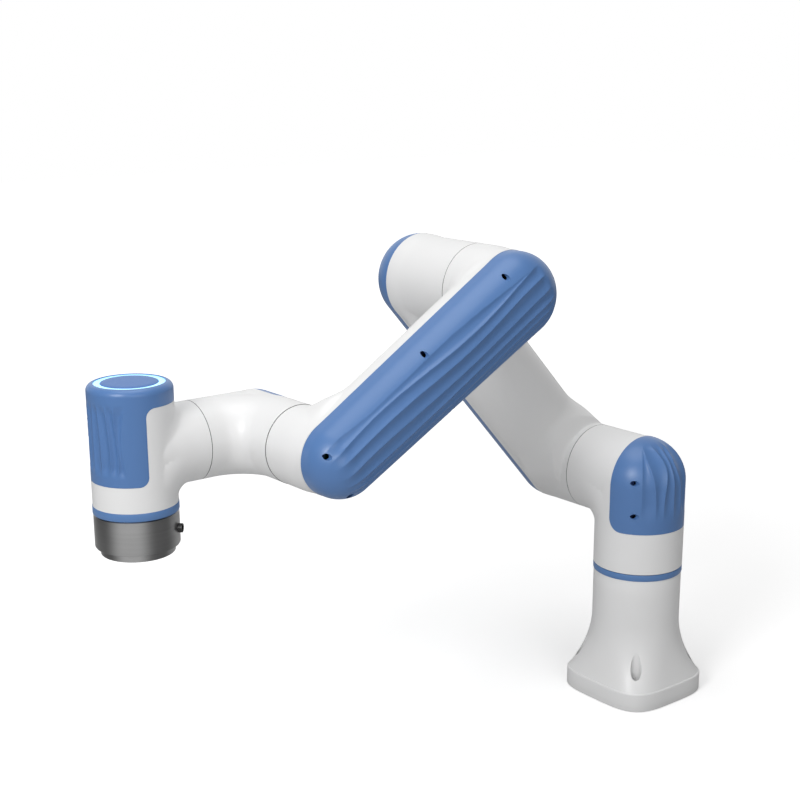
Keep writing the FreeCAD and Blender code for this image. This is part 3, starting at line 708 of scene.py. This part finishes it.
BOARD = material("circuit_board", (0.02, 0.16, 0.06), 0.40, vary=0.12, bump=0.06)

# Painted reflection on the turned flange: the count, placing and darkest level of the light and dark
# bands round its side.
FLANGE_REFLECTION_BANDS = 4
FLANGE_REFLECTION_CREST = math.radians(51.2)
FLANGE_REFLECTION_DARKEST = 0.32


def paint_reflection_bands(made):
    """Paints reflection onto turned metal: light and dark bands that run down its side, multiplied into
    its colour.
    """
    nodes, links = made.node_tree.nodes, made.node_tree.links
    shader = nodes["Principled BSDF"]
    tint = shader.inputs["Base Color"].links[0].from_node
    where = nodes.new("ShaderNodeTexCoord")
    shift = set_inputs(nodes.new("ShaderNodeMapping"), {"Location": [-c * MM for c in WRIST_2]})
    turn = nodes.new("ShaderNodeTexGradient")
    turn.gradient_type = "RADIAL"
    wave = nodes.new("ShaderNodeMath")
    wave.operation = "MULTIPLY_ADD"
    set_inputs(wave, {1: FLANGE_REFLECTION_BANDS * 2 * math.pi, 2: -FLANGE_REFLECTION_BANDS * FLANGE_REFLECTION_CREST})
    swing = nodes.new("ShaderNodeMath")
    swing.operation = "COSINE"
    level = nodes.new("ShaderNodeMapRange")
    level.interpolation_type = "SMOOTHSTEP"
    set_inputs(level, {"From Min": -1.0, "From Max": 0.9, "To Min": FLANGE_REFLECTION_DARKEST})
    mixed = colour_mix(nodes, {"Factor": 1.0})
    mixed.blend_type = "MULTIPLY"
    join(
        links,
        (where, "Object", shift, "Vector"),
        (shift, "Vector", turn, "Vector"),
        (turn, "Fac", wave, 0),
        (wave, "Value", swing, 0),
        (swing, "Value", level, "Value"),
        (tint, "Result", mixed, "A"),
        (level, "Result", mixed, "B"),
        (mixed, "Result", shader, "Base Color"),
    )


# The turned metal gets its painted reflection bands.
paint_reflection_bands(TURNED)

CAD_FINISH = {
    "base_bottom_plate": PLATE, "base_plate_screws": GEAR, "base_cable_socket": BLACK,
    "tool_connector": BLACK, "gear_ring": GEAR, "output_flange": OUTPUT, "rotor": ROTOR,
    "stator": STATOR, "brake": BRAKE, "drive_board": BOARD, "cover_screws": DARK_SCREW,
}


def finish_cad_nodes():
    for name, thing in frame["nodes"].items():
        for ending, finish in CAD_FINISH.items():
            if name.endswith(ending):
                thing.data.materials.clear()
                thing.data.materials.append(finish)


def place(thing, body, finish, slot, *nodes):
    """Finishes a piece, ties it to its body and lets it stand for its CAD nodes."""
    thing.data.materials.clear()
    thing.data.materials.append(finish)
    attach(thing, body)
    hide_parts(*nodes)


# ---- cover outlines ------------------------------------------------------------------------
# Each region is the space that a cover takes from its link, drawn back by the gap given. FAR and
# NEAR are how far the cutters reach round a large and a small link.
FAR = 90.0
NEAR = 60.0
SHOULDER_SPLIT = -0.5
SHOULDER_PANEL_FLOOR = 179.0
SHOULDER_PANEL_CORNER = 14.0
WRIST_1_SPLIT = 4.0
WRIST_1_PANEL_FLOOR = -35.0
WRIST_1_PANEL_CORNER = 10.0
WRIST_2_SPLIT = -5.0
WRIST_2_BAND = 43.5
WRIST_2_PANEL_FLOOR = -22.0
WRIST_2_PANEL_CORNER = 8.0
WRIST_2_PANEL_ROOF = 80.0
SLAB_X = (-600.0, 300.0)
SLAB_Y = (-200.0, 300.0)
SLAB_Z = (-100.0, 700.0)


def shoulder_region(gap):
    """In front of the parting plane and above the panel's floor."""
    split, floor, top = SHOULDER_SPLIT - gap, SHOULDER_PANEL_FLOOR + gap, SHOULDER[2] + FAR
    corner = SHOULDER_PANEL_CORNER
    outline = [Y * -FAR + Z * floor, Y * -FAR + Z * top, Y * split + Z * top]
    outline += arc(Y * (split - corner) + Z * (floor + corner), corner, Y, -Z, 0, 90)
    return prism("shoulder_region", [p - X * FAR for p in outline], X, 2 * FAR)


def wrist_1_region(gap):
    """On the side away from the neck to wrist 2, from the panel's floor to its far end."""
    split = WRIST_1[0] + WRIST_1_SPLIT + gap
    floor = WRIST_1[1] + WRIST_1_PANEL_FLOOR + gap
    corner = WRIST_1_PANEL_CORNER
    far_x, far_y = WRIST_1[0] + NEAR, WRIST_1[1] + NEAR
    outline = [X * far_x + Y * floor, X * far_x + Y * far_y, X * split + Y * far_y]
    outline += arc(X * (split + corner) + Y * (floor + corner), corner, -X, -Y, 0, 90)
    return prism("wrist_1_region", [p + Z * (WRIST_1[2] - NEAR) for p in outline], Z, 2 * NEAR)


def wrist_2_region(gap):
    """The whole top above the band, and the side away from the neck down to the panel's floor."""
    split = WRIST_2[0] + WRIST_2_SPLIT - gap
    band_level = WRIST_2[2] + WRIST_2_BAND + gap
    floor, top = WRIST_2[2] + WRIST_2_PANEL_FLOOR + gap, WRIST_2[2] + WRIST_2_PANEL_ROOF
    corner = WRIST_2_PANEL_CORNER
    outline = [X * (WRIST_2[0] - NEAR) + Z * top, X * (WRIST_2[0] - NEAR) + Z * floor]
    outline += arc(X * (split - corner) + Z * (floor + corner), corner, -Z, X, 0, 90)
    outline += arc(X * (split + corner) + Z * (band_level - corner), corner, -X, Z, 0, 90)
    outline += [X * (WRIST_2[0] + NEAR) + Z * band_level, X * (WRIST_2[0] + NEAR) + Z * top]
    return prism("wrist_2_region", [p + Y * (WRIST_2[1] - NEAR) for p in outline], Y, 2 * NEAR)


def slab(low_y, high_y):
    corners = ((0, 0), (1, 0), (1, 1), (0, 1))
    outline = [X * SLAB_X[i] + Y * low_y + Z * SLAB_Z[k] for i, k in corners]
    return prism("slab", outline, Y, high_y - low_y)


def upper_arm_region(gap):
    return slab(UPPER_SPLIT + gap, SLAB_Y[1])


def forearm_region(gap):
    return slab(SLAB_Y[0], FORE_SPLIT - gap)


# ---- links ---------------------------------------------------------------------------------
END_WALL = 3.5
END_CUT_RADIUS = 62.0
END_CUT_LENGTH = 40.0
SEAM_FACE_LIMIT = 0.05
SCREWS_APART = 6.0
SCREW_HOLE_RADIUS = 2.7
SCREW_HOLE_REACH = 30.0
END_SIDES = 96
WELL_SIDES = 160


def screw_places(node):
    """Centres of the solids in a screw node, found by grouping its vertices."""
    thing = frame["nodes"][node]
    bm = bmesh.new()
    bm.from_mesh(thing.data)
    seen, centres = set(), []
    for start in bm.verts:
        if start in seen:
            continue
        group, stack = [], [start]
        seen.add(start)
        while stack:
            vertex = stack.pop()
            group.append(np.array(vertex.co) / MM)
            for edge in vertex.link_edges:
                other = edge.other_vert(vertex)
                if other not in seen:
                    seen.add(other)
                    stack.append(other)
        group = np.array(group)
        centre = (group.min(0) + group.max(0)) / 2
        if all(np.linalg.norm(centre - other) > SCREWS_APART for other in centres):
            centres.append(centre)
    bm.free()
    return centres


def box_of(*nodes):
    lows = np.array([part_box(n)[0] for n in nodes]) / MM
    highs = np.array([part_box(n)[1] for n in nodes]) / MM
    return lows.min(0), highs.max(0)


def hollow(thing, field, wall, ends, lowest, highest):
    """Cuts the inside out, leaving a wall behind each square end."""
    def inside(p):
        value = field(p) + wall
        for point, outward, _, _ in ends:
            value = np.maximum(value, (p - point) @ outward + END_WALL)
        return value

    combine(thing, [net_object("inside", inside, lowest, highest, INSIDE_STEP)])


def link_housing(link, field, region, ends):
    """White housing of a link. Each end is its centre, the way out, and its bore's radius and depth."""
    node = link + "_housing"
    lowest, highest = box_of(node, link + "_cover")
    margin = OVERRUN + 4 * SHELL_STEP
    span = (lowest - margin, highest + margin)
    housing = net_object(link + "_shell", field, *span, SHELL_STEP)
    hollow(housing, field, SHELL_WALL, ends, *span)
    cuts = [region(0.0)]
    for point, outward, radius, depth in ends:
        cuts.append(rod("end", point, point + outward * END_CUT_LENGTH, END_CUT_RADIUS, END_SIDES))
        cuts.append(rod("bore", point - outward * depth, point + outward, radius, END_SIDES))
    combine(housing, cuts)
    shade(housing, field)
    place(housing, link, WHITE, "white_shell", node)
    housing.data.materials.append(SEAM)
    for polygon in housing.data.polygons:
        centre = np.array(polygon.center) / MM
        for point, outward, _, _ in ends:
            near_end = np.linalg.norm(centre - point) < END_CUT_RADIUS
            if near_end and abs((centre - point) @ outward) < SEAM_FACE_LIMIT:
                polygon.material_index = 1


def link_cover(link, field, region, screw_axis=None, cuts=(), roof=()):
    """Blue cover of a link, with holes down to its screws. roof is one solid end, as in hollow."""
    node = link + "_cover"
    lowest, highest = box_of(node)
    margin = 4 * COVER_STEP
    span = (lowest - margin, highest + margin)
    cover = net_object(link + "_panel", field, *span, COVER_STEP)
    hollow(cover, field, COVER_WALL, roof, *span)
    combine(cover, [region(PARTING_GAP)], "INTERSECT")
    tools = list(cuts)
    if screw_axis is not None:
        for centre in screw_places(link + "_cover_screws"):
            reach = screw_axis * SCREW_HOLE_REACH
            tools.append(rod("hole", centre - reach, centre + reach, SCREW_HOLE_RADIUS, 32))
    combine(cover, tools)
    shade(cover, field)
    place(cover, link, BLUE, "blue_cover", node)


# (radius, depth below the light ring's top)
LIGHT_WELL = (29.95, 3.0)
BUTTON_ROOM = (24.35, 6.5)
BUTTON_GUIDE = (4.2, 20.0)
TOP_ROOF = 6.0
ABOVE_TOP = 70.0


def make_links():
    cable = (CABLE_HOLE, CABLE_HOLE_DEPTH)
    large, small = (LARGE_BORE, BORE_DEPTH), (SMALL_BORE, BORE_DEPTH)
    link_housing("shoulder", shoulder_field, shoulder_region, [
        (SHOULDER + Y * SHOULDER_END, Y, *large),
        (Z * SHOULDER_FLOOR, -Z, *cable),
    ])
    link_cover("shoulder", shoulder_cover_field, shoulder_region, Y)
    link_housing("upper_arm", upper_arm_field, upper_arm_region, [
        (SHOULDER + Y * SEAM_2, -Y, *cable),
        (ELBOW + Y * UPPER_END_3, -Y, *large),
    ])
    link_cover("upper_arm", upper_arm_cover_field, upper_arm_region, Y)
    link_housing("forearm", forearm_field, forearm_region, [
        (ELBOW + Y * FORE_END_3, Y, *cable),
        (WRIST + Y * FORE_END_4, Y, *small),
    ])
    link_cover("forearm", forearm_cover_field, forearm_region, Y)
    link_housing("wrist_1", wrist_1_field, wrist_1_region, [
        (WRIST + Y * WRIST_1_START, -Y, *cable),
        (WRIST_1 - X * WRIST_1_REACH, -X, *small),
    ])
    link_cover("wrist_1", wrist_1_field, wrist_1_region, X)
    link_housing("wrist_2", wrist_2_field, wrist_2_region, [
        (WRIST_2 + X * WRIST_2_REACH, X, *cable),
        (WRIST_2 + Z * WRIST_2_BOTTOM, -Z, *small),
    ])
    top = high("light_ring", 2) - WRIST_2[2]
    cuts = []
    for name, (radius, depth), sides in (
        ("well", LIGHT_WELL, WELL_SIDES), ("room", BUTTON_ROOM, WELL_SIDES), ("guide", BUTTON_GUIDE, 48),
    ):
        cuts.append(rod(name, WRIST_2 + Z * (top - depth), WRIST_2 + Z * ABOVE_TOP, radius, sides))
    roof = [(WRIST_2 + Z * (top - TOP_ROOF), Z, 0, 0)]
    link_cover("wrist_2", wrist_2_cover_field, wrist_2_region, cuts=cuts, roof=roof)


# ---- base ----------------------------------------------------------------------------------
BASE_RADIUS = 44.2
BASE_TOP = high("base_housing", 2)
BASE_SIDES = 192
FOOT_HALF = high("base_housing", 0)
FOOT_CORNER = 68.2
FOOT_WALL = 17.6
FOOT_ROUND = 1.6
FLARE_TOP = 81.0
FLARE_STEPS = 40
BOLT_AT = 38.0
BOLT_SEAT = 11.0
BOLT_HOLE_RADIUS = 3.3
BOLT_RECESS_RADIUS = 5.5
BOLT_HOLE_TOP = 30.0
DRIVE_BORE_START = 100.0
BASE_ANGLE = 32.0
# (radius, height)
BASE_INSIDE = (40.0, 84.0)
PLATE_POCKET = (46.1, 4.0)
CABLE_SOCKET = (11.05, 44.0)
CABLE_SOCKET_START = 30.0


def squircle(half_width, corner, angle):
    """Radius of a rounded square with slightly bowed sides at an angle."""
    power = 1.0 / (0.5 - math.log2(corner / half_width))
    spread = abs(math.cos(angle)) ** power + abs(math.sin(angle)) ** power
    return half_width / spread ** (1.0 / power)


def base_profile():
    """(height, half width, corner reach) from the underside to the top."""
    rows = []
    for height, inset in ((0.0, 0.8), (0.25, 0.25), (0.8, 0.0), (9.0, 0.0), (FOOT_WALL, 0.0)):
        rows.append((height, FOOT_HALF - inset, FOOT_CORNER - inset))
    for i in range(1, 7):
        angle = math.pi / 2 * i / 6
        inset = FOOT_ROUND * (1 - math.cos(angle))
        rows.append((FOOT_WALL + FOOT_ROUND * math.sin(angle), FOOT_HALF - inset, FOOT_CORNER - inset))
    flare_start = FOOT_WALL + FOOT_ROUND
    for i in range(1, FLARE_STEPS + 1):
        t = i / FLARE_STEPS
        swell = (1 - t) ** 2
        rows.append((
            flare_start + (FLARE_TOP - flare_start) * t,
            BASE_RADIUS + (FOOT_HALF - FOOT_ROUND - BASE_RADIUS) * swell,
            BASE_RADIUS + (FOOT_CORNER - FOOT_ROUND - BASE_RADIUS) * swell,
        ))
    for height, inset in (
        (95.0, 0.0), (112.0, 0.0), (BASE_TOP - 0.6, 0.0), (BASE_TOP - 0.15, 0.2), (BASE_TOP, 0.6),
    ):
        rows.append((height, BASE_RADIUS - inset, BASE_RADIUS - inset))
    return rows


def make_base():
    sides = BASE_SIDES
    rows = base_profile()
    vertices, faces = [], []
    for height, half_width, corner in rows:
        for i in range(sides):
            angle = 2 * math.pi * i / sides
            radius = squircle(half_width, corner, angle)
            vertices.append((radius * math.cos(angle), radius * math.sin(angle), height))
    for r in range(len(rows) - 1):
        for i in range(sides):
            j = (i + 1) % sides
            faces.append([r * sides + i, r * sides + j, (r + 1) * sides + j, (r + 1) * sides + i])
    last = (len(rows) - 1) * sides
    faces += [list(range(sides))[::-1], [last + i for i in range(sides)]]
    base = make_object("base_shell", vertices, faces)
    socket = Z * CABLE_SOCKET[1]
    cuts = [
        rod("bore", Z * -1, Z * BASE_INSIDE[1], BASE_INSIDE[0], END_SIDES),
        rod("bore", Z * DRIVE_BORE_START, Z * (BASE_TOP + OVERRUN), LARGE_BORE, END_SIDES),
        rod("bore", Z * -1, Z * PLATE_POCKET[1], PLATE_POCKET[0], END_SIDES),
        rod("bore", X * CABLE_SOCKET_START + socket, X * FAR + socket, CABLE_SOCKET[0], 64),
    ]
    for x in (-BOLT_AT, BOLT_AT):
        for y in (-BOLT_AT, BOLT_AT):
            spot = X * x + Y * y
            cuts.append(rod("bolt_hole", spot - Z, spot + Z * BOLT_HOLE_TOP, BOLT_HOLE_RADIUS, 32))
            cuts.append(rod("bolt_recess", spot + Z * BOLT_SEAT, spot + Z * FAR, BOLT_RECESS_RADIUS, 48))
    combine(base, cuts)
    smooth_by_angle(base, BASE_ANGLE)
    place(base, "base", WHITE, "white_shell", "base_housing")


# ---- rings, button and flange --------------------------------------------------------------
TRIM_EDGE = 0.6
LIGHT_RADII = (24.4, 29.9)
LIGHT_THICKNESS = 3.0
LIGHT_EDGE = 0.4
BUTTON_RADIUS = 24.0
BUTTON_THICKNESS = 3.2
BUTTON_DOME_START = 18.0
RING_SIDES = 160
DISC_SIDES = 128
FLANGE_HOLE = 9.0
FLANGE_PILOT = 31.5
FLANGE_BORE = 15.75
FLANGE_BORE_DEPTH = 6.0
FLANGE_STEP = 6.5
FLANGE_CIRCLE = 25.0
# (radius, depth)
STEM = (4.0, 12.0)
THREAD = (2.5, 9.0)
DOWEL = (3.0, 7.0)
SOCKET_RADIUS = 4.03
SOCKET_HEIGHT = 15.0
SOCKET_REACH = (23.0, 45.0)


def band(inner, outer, bottom, top, edge):
    """Profile of a ring with small rounded outer edges."""
    profile = [(inner, bottom), (outer - edge, bottom)]
    profile += [(outer - 0.3 * edge, bottom + 0.3 * edge), (outer, bottom + edge)]
    profile += [(outer, top - edge), (outer - 0.3 * edge, top - 0.3 * edge)]
    profile += [(outer - edge, top), (inner, top)]
    return profile


def make_trim():
    for node, name, body, base, bore in (
        ("base_trim_ring", "base_band", "base", Z * 0.0, LARGE_BORE),
        ("wrist_trim_ring", "wrist_band", "wrist_2", WRIST_2, SMALL_BORE),
    ):
        bottom, top = low(node, 2) - base[2], high(node, 2) - base[2]
        profile = band(bore, high(node, 0) - base[0], bottom, top, TRIM_EDGE)
        place(turned(name, base, Z, profile, RING_SIDES), body, BLUE_TRIM, "blue_trim", node)


def make_light_and_button():
    top = high("light_ring", 2) - WRIST_2[2]
    profile = band(*LIGHT_RADII, top - LIGHT_THICKNESS, top, LIGHT_EDGE)
    light = turned("status_light", WRIST_2, Z, profile, DISC_SIDES)
    place(light, "wrist_2", LIGHT, "light_ring_diffuser", "light_ring")
    top = high("teach_button", 2) - WRIST_2[2]
    under, (stem, stem_depth) = top - BUTTON_THICKNESS, STEM
    profile = [(0.0, top - stem_depth), (stem, top - stem_depth), (stem, under)]
    profile += [(BUTTON_RADIUS - 0.4, under), (BUTTON_RADIUS, under + 0.4), (BUTTON_RADIUS, top - 0.9)]
    profile += [(BUTTON_RADIUS - 0.25, top - 0.35), (BUTTON_RADIUS - 0.9, top - 0.08)]
    profile += [(BUTTON_DOME_START, top), (0.0, top)]
    button = turned("round_button", WRIST_2, Z, profile, DISC_SIDES)
    place(button, "teach_button", BLUE_DISC, "blue_button", "teach_button")


def make_flange():
    top = high("tool_flange", 2) - WRIST_2[2]
    bottom = low("tool_flange", 2) - WRIST_2[2]
    radius = high("tool_flange", 0) - WRIST_2[0]
    step, floor = bottom + FLANGE_STEP, bottom + FLANGE_BORE_DEPTH
    profile = [(FLANGE_HOLE, floor), (FLANGE_BORE, floor), (FLANGE_BORE, bottom + 0.5)]
    profile += [(FLANGE_BORE + 0.5, bottom), (FLANGE_PILOT - 0.5, bottom), (FLANGE_PILOT, bottom + 0.5)]
    profile += [(FLANGE_PILOT, step - 0.4), (FLANGE_PILOT + 0.4, step), (34.6, step), (35.4, step + 0.3)]
    profile += [(radius, step + 1.4), (radius, top - 0.6), (radius - 0.6, top), (FLANGE_HOLE, top)]
    flange = turned("flange_body", WRIST_2, Z, profile, RING_SIDES)
    cuts = []
    face = WRIST_2 + Z * bottom
    for i in range(4):
        angle = math.pi / 4 + i * math.pi / 2
        spot = face + FLANGE_CIRCLE * (math.cos(angle) * X + math.sin(angle) * Y)
        cuts.append(rod("thread", spot - Z, spot + Z * THREAD[1], THREAD[0], 32))
    spot = face + X * FLANGE_CIRCLE
    cuts.append(rod("dowel", spot - Z, spot + Z * DOWEL[1], DOWEL[0], 32))
    side = unit(X - Y)
    socket = WRIST_2 + Z * (step + SOCKET_HEIGHT)
    ends = [socket + side * reach for reach in SOCKET_REACH]
    cuts.append(rod("socket", *ends, SOCKET_RADIUS, 40))
    combine(flange, cuts)
    smooth_by_angle(flange)
    place(flange, "tool_flange", TURNED, "turned_flange", "tool_flange")


# ---- camera, light and floor ---------------------------------------------------------------
CAMERA_PLACE = Vector((-1.04375, -0.93365, 0.64097))
CAMERA_AZIMUTH = -38.84
CAMERA_ELEVATION = 15.31
CAMERA_ROLL = -0.13
CAMERA_LENS = 64.56
CAMERA_SHIFT = (-0.0182, 0.0526)
CAMERA_SENSOR = 36.0
STUDIO_MIDDLE = (-0.22, 0.05, 0.28)
STUDIO_FRONT = (-0.627, -0.779, 0.0)
FLOOR_HALF = 6000.0
FLOOR_DROP = 0.0002
FLOOR_SHADE = 0.55
FLOOR_PALE = 0.90
MATT_LIGHT = 0.36
# Brightness seen by shiny metal, from behind the object (0) round to its front (1).
SIDE_STOPS = ((0.12, 0.9), (0.34, 0.25), (0.66, 0.25), (0.88, 0.6))


def make_camera():
    data = bpy.data.cameras.new("camera")
    data.sensor_width = CAMERA_SENSOR
    data.lens = CAMERA_LENS
    data.shift_x, data.shift_y = CAMERA_SHIFT
    camera = bpy.data.objects.new("camera", data)
    bpy.context.scene.collection.objects.link(camera)
    azimuth, elevation = math.radians(CAMERA_AZIMUTH), math.radians(CAMERA_ELEVATION)
    back = Vector((
        math.sin(azimuth) * math.cos(elevation),
        -math.cos(azimuth) * math.cos(elevation),
        math.sin(elevation),
    ))
    right = Vector((math.cos(azimuth), math.sin(azimuth), 0))
    up = back.cross(right)
    turn = Matrix((right, up, back)).transposed()
    turn = turn @ Matrix.Rotation(math.radians(CAMERA_ROLL), 3, "Z")
    camera.matrix_world = Matrix.Translation(CAMERA_PLACE) @ turn.to_4x4()
    bpy.context.scene.camera = camera


def area_light(name, spot, size, power):
    data = bpy.data.lights.new(name, "AREA")
    data.shape = "DISK"
    data.size = size
    data.energy = power
    light = bpy.data.objects.new(name, data)
    bpy.context.scene.collection.objects.link(light)
    direction = Vector(spot) - Vector(STUDIO_MIDDLE)
    light.rotation_euler = direction.to_track_quat("Z", "Y").to_euler()
    light.location = spot


def floor_material():
    """Pale floor that stays white to the eye, with only soft shadows left on it."""
    made = material("floor", [FLOOR_PALE] * 3, 0.7, vary=0.004, bump=0.0)
    nodes, links = made.node_tree.nodes, made.node_tree.links
    shader = nodes["Principled BSDF"]
    set_inputs(shader, {"Specular IOR Level": 0.0, "Emission Color": (1, 1, 1, 1)})
    where = nodes.new("ShaderNodeTexCoord")
    distance = nodes.new("ShaderNodeVectorMath")
    distance.operation = "LENGTH"
    lift = nodes.new("ShaderNodeMapRange")
    set_inputs(lift, {"From Min": 0.2, "From Max": 1.8, "To Min": 0.34, "To Max": 0.82})
    path = nodes.new("ShaderNodeLightPath")
    seen = nodes.new("ShaderNodeMath")
    seen.operation = "MULTIPLY"
    pale = colour_mix(nodes, {"A": [FLOOR_SHADE] * 3 + [1], "B": [FLOOR_PALE] * 3 + [1]})
    join(
        links,
        (where, "Object", distance, 0),
        (distance, "Value", lift, "Value"),
        (path, "Is Camera Ray", seen, 0),
        (lift, "Result", seen, 1),
        (seen, "Value", shader, "Emission Strength"),
        (path, "Is Camera Ray", pale, "Factor"),
        (pale, "Result", shader, "Base Color"),
    )
    return made


def make_studio():
    area_light("key", (-1.6, -0.45, 1.1), 0.6, 12.5)
    area_light("front", (-0.7, -1.4, 0.75), 0.8, 3.2)
    area_light("top", (-0.35, 0.15, 1.8), 1.3, 10.0)
    world = bpy.data.worlds.new("studio")
    bpy.context.scene.world = world
    world.use_nodes = True
    nodes, links = world.node_tree.nodes, world.node_tree.links
    sky = nodes["Background"]
    sky.inputs["Color"].default_value = (1, 1, 1, 1)
    # Even light for matt surfaces, white behind the object, and dark sides for shiny metal.
    path = nodes.new("ShaderNodeLightPath")
    way = nodes.new("ShaderNodeTexCoord")
    facing = nodes.new("ShaderNodeVectorMath")
    facing.operation = "DOT_PRODUCT"
    set_inputs(facing, {1: STUDIO_FRONT})
    spread = set_inputs(nodes.new("ShaderNodeMapRange"), {"From Min": -1.0})
    sides = nodes.new("ShaderNodeValToRGB")
    ramp = sides.color_ramp
    ramp.elements[0].position, ramp.elements[0].color = 0.0, (1, 1, 1, 1)
    ramp.elements[1].position, ramp.elements[1].color = 1.0, (0.75, 0.75, 0.75, 1)
    for position, level in SIDE_STOPS:
        stop = ramp.elements.new(position)
        stop.color = (level, level, level, 1)
    matt = set_inputs(nodes.new("ShaderNodeMix"), {"A": MATT_LIGHT})
    seen = set_inputs(nodes.new("ShaderNodeMix"), {"B": 1.0})
    join(
        links,
        (way, "Generated", facing, 0),
        (facing, "Value", spread, "Value"),
        (spread, "Result", sides, "Fac"),
        (path, "Is Glossy Ray", matt, "Factor"),
        (sides, "Color", matt, "B"),
        (path, "Is Camera Ray", seen, "Factor"),
        (matt, "Result", seen, "A"),
        (seen, "Result", sky, "Strength"),
    )
    bpy.context.scene.view_settings.view_transform = "Standard"


def make_floor():
    size = FLOOR_HALF
    corners = [(-size, -size, 0), (size, -size, 0), (size, size, 0), (-size, size, 0)]
    floor = make_object("floor", corners, [[0, 1, 2, 3]])
    floor.location.z = -FLOOR_DROP
    floor.data.materials.append(floor_material())


make_camera()
make_studio()
make_floor()
finish_cad_nodes()
make_base()
make_links()
make_trim()
make_light_and_button()
make_flange()
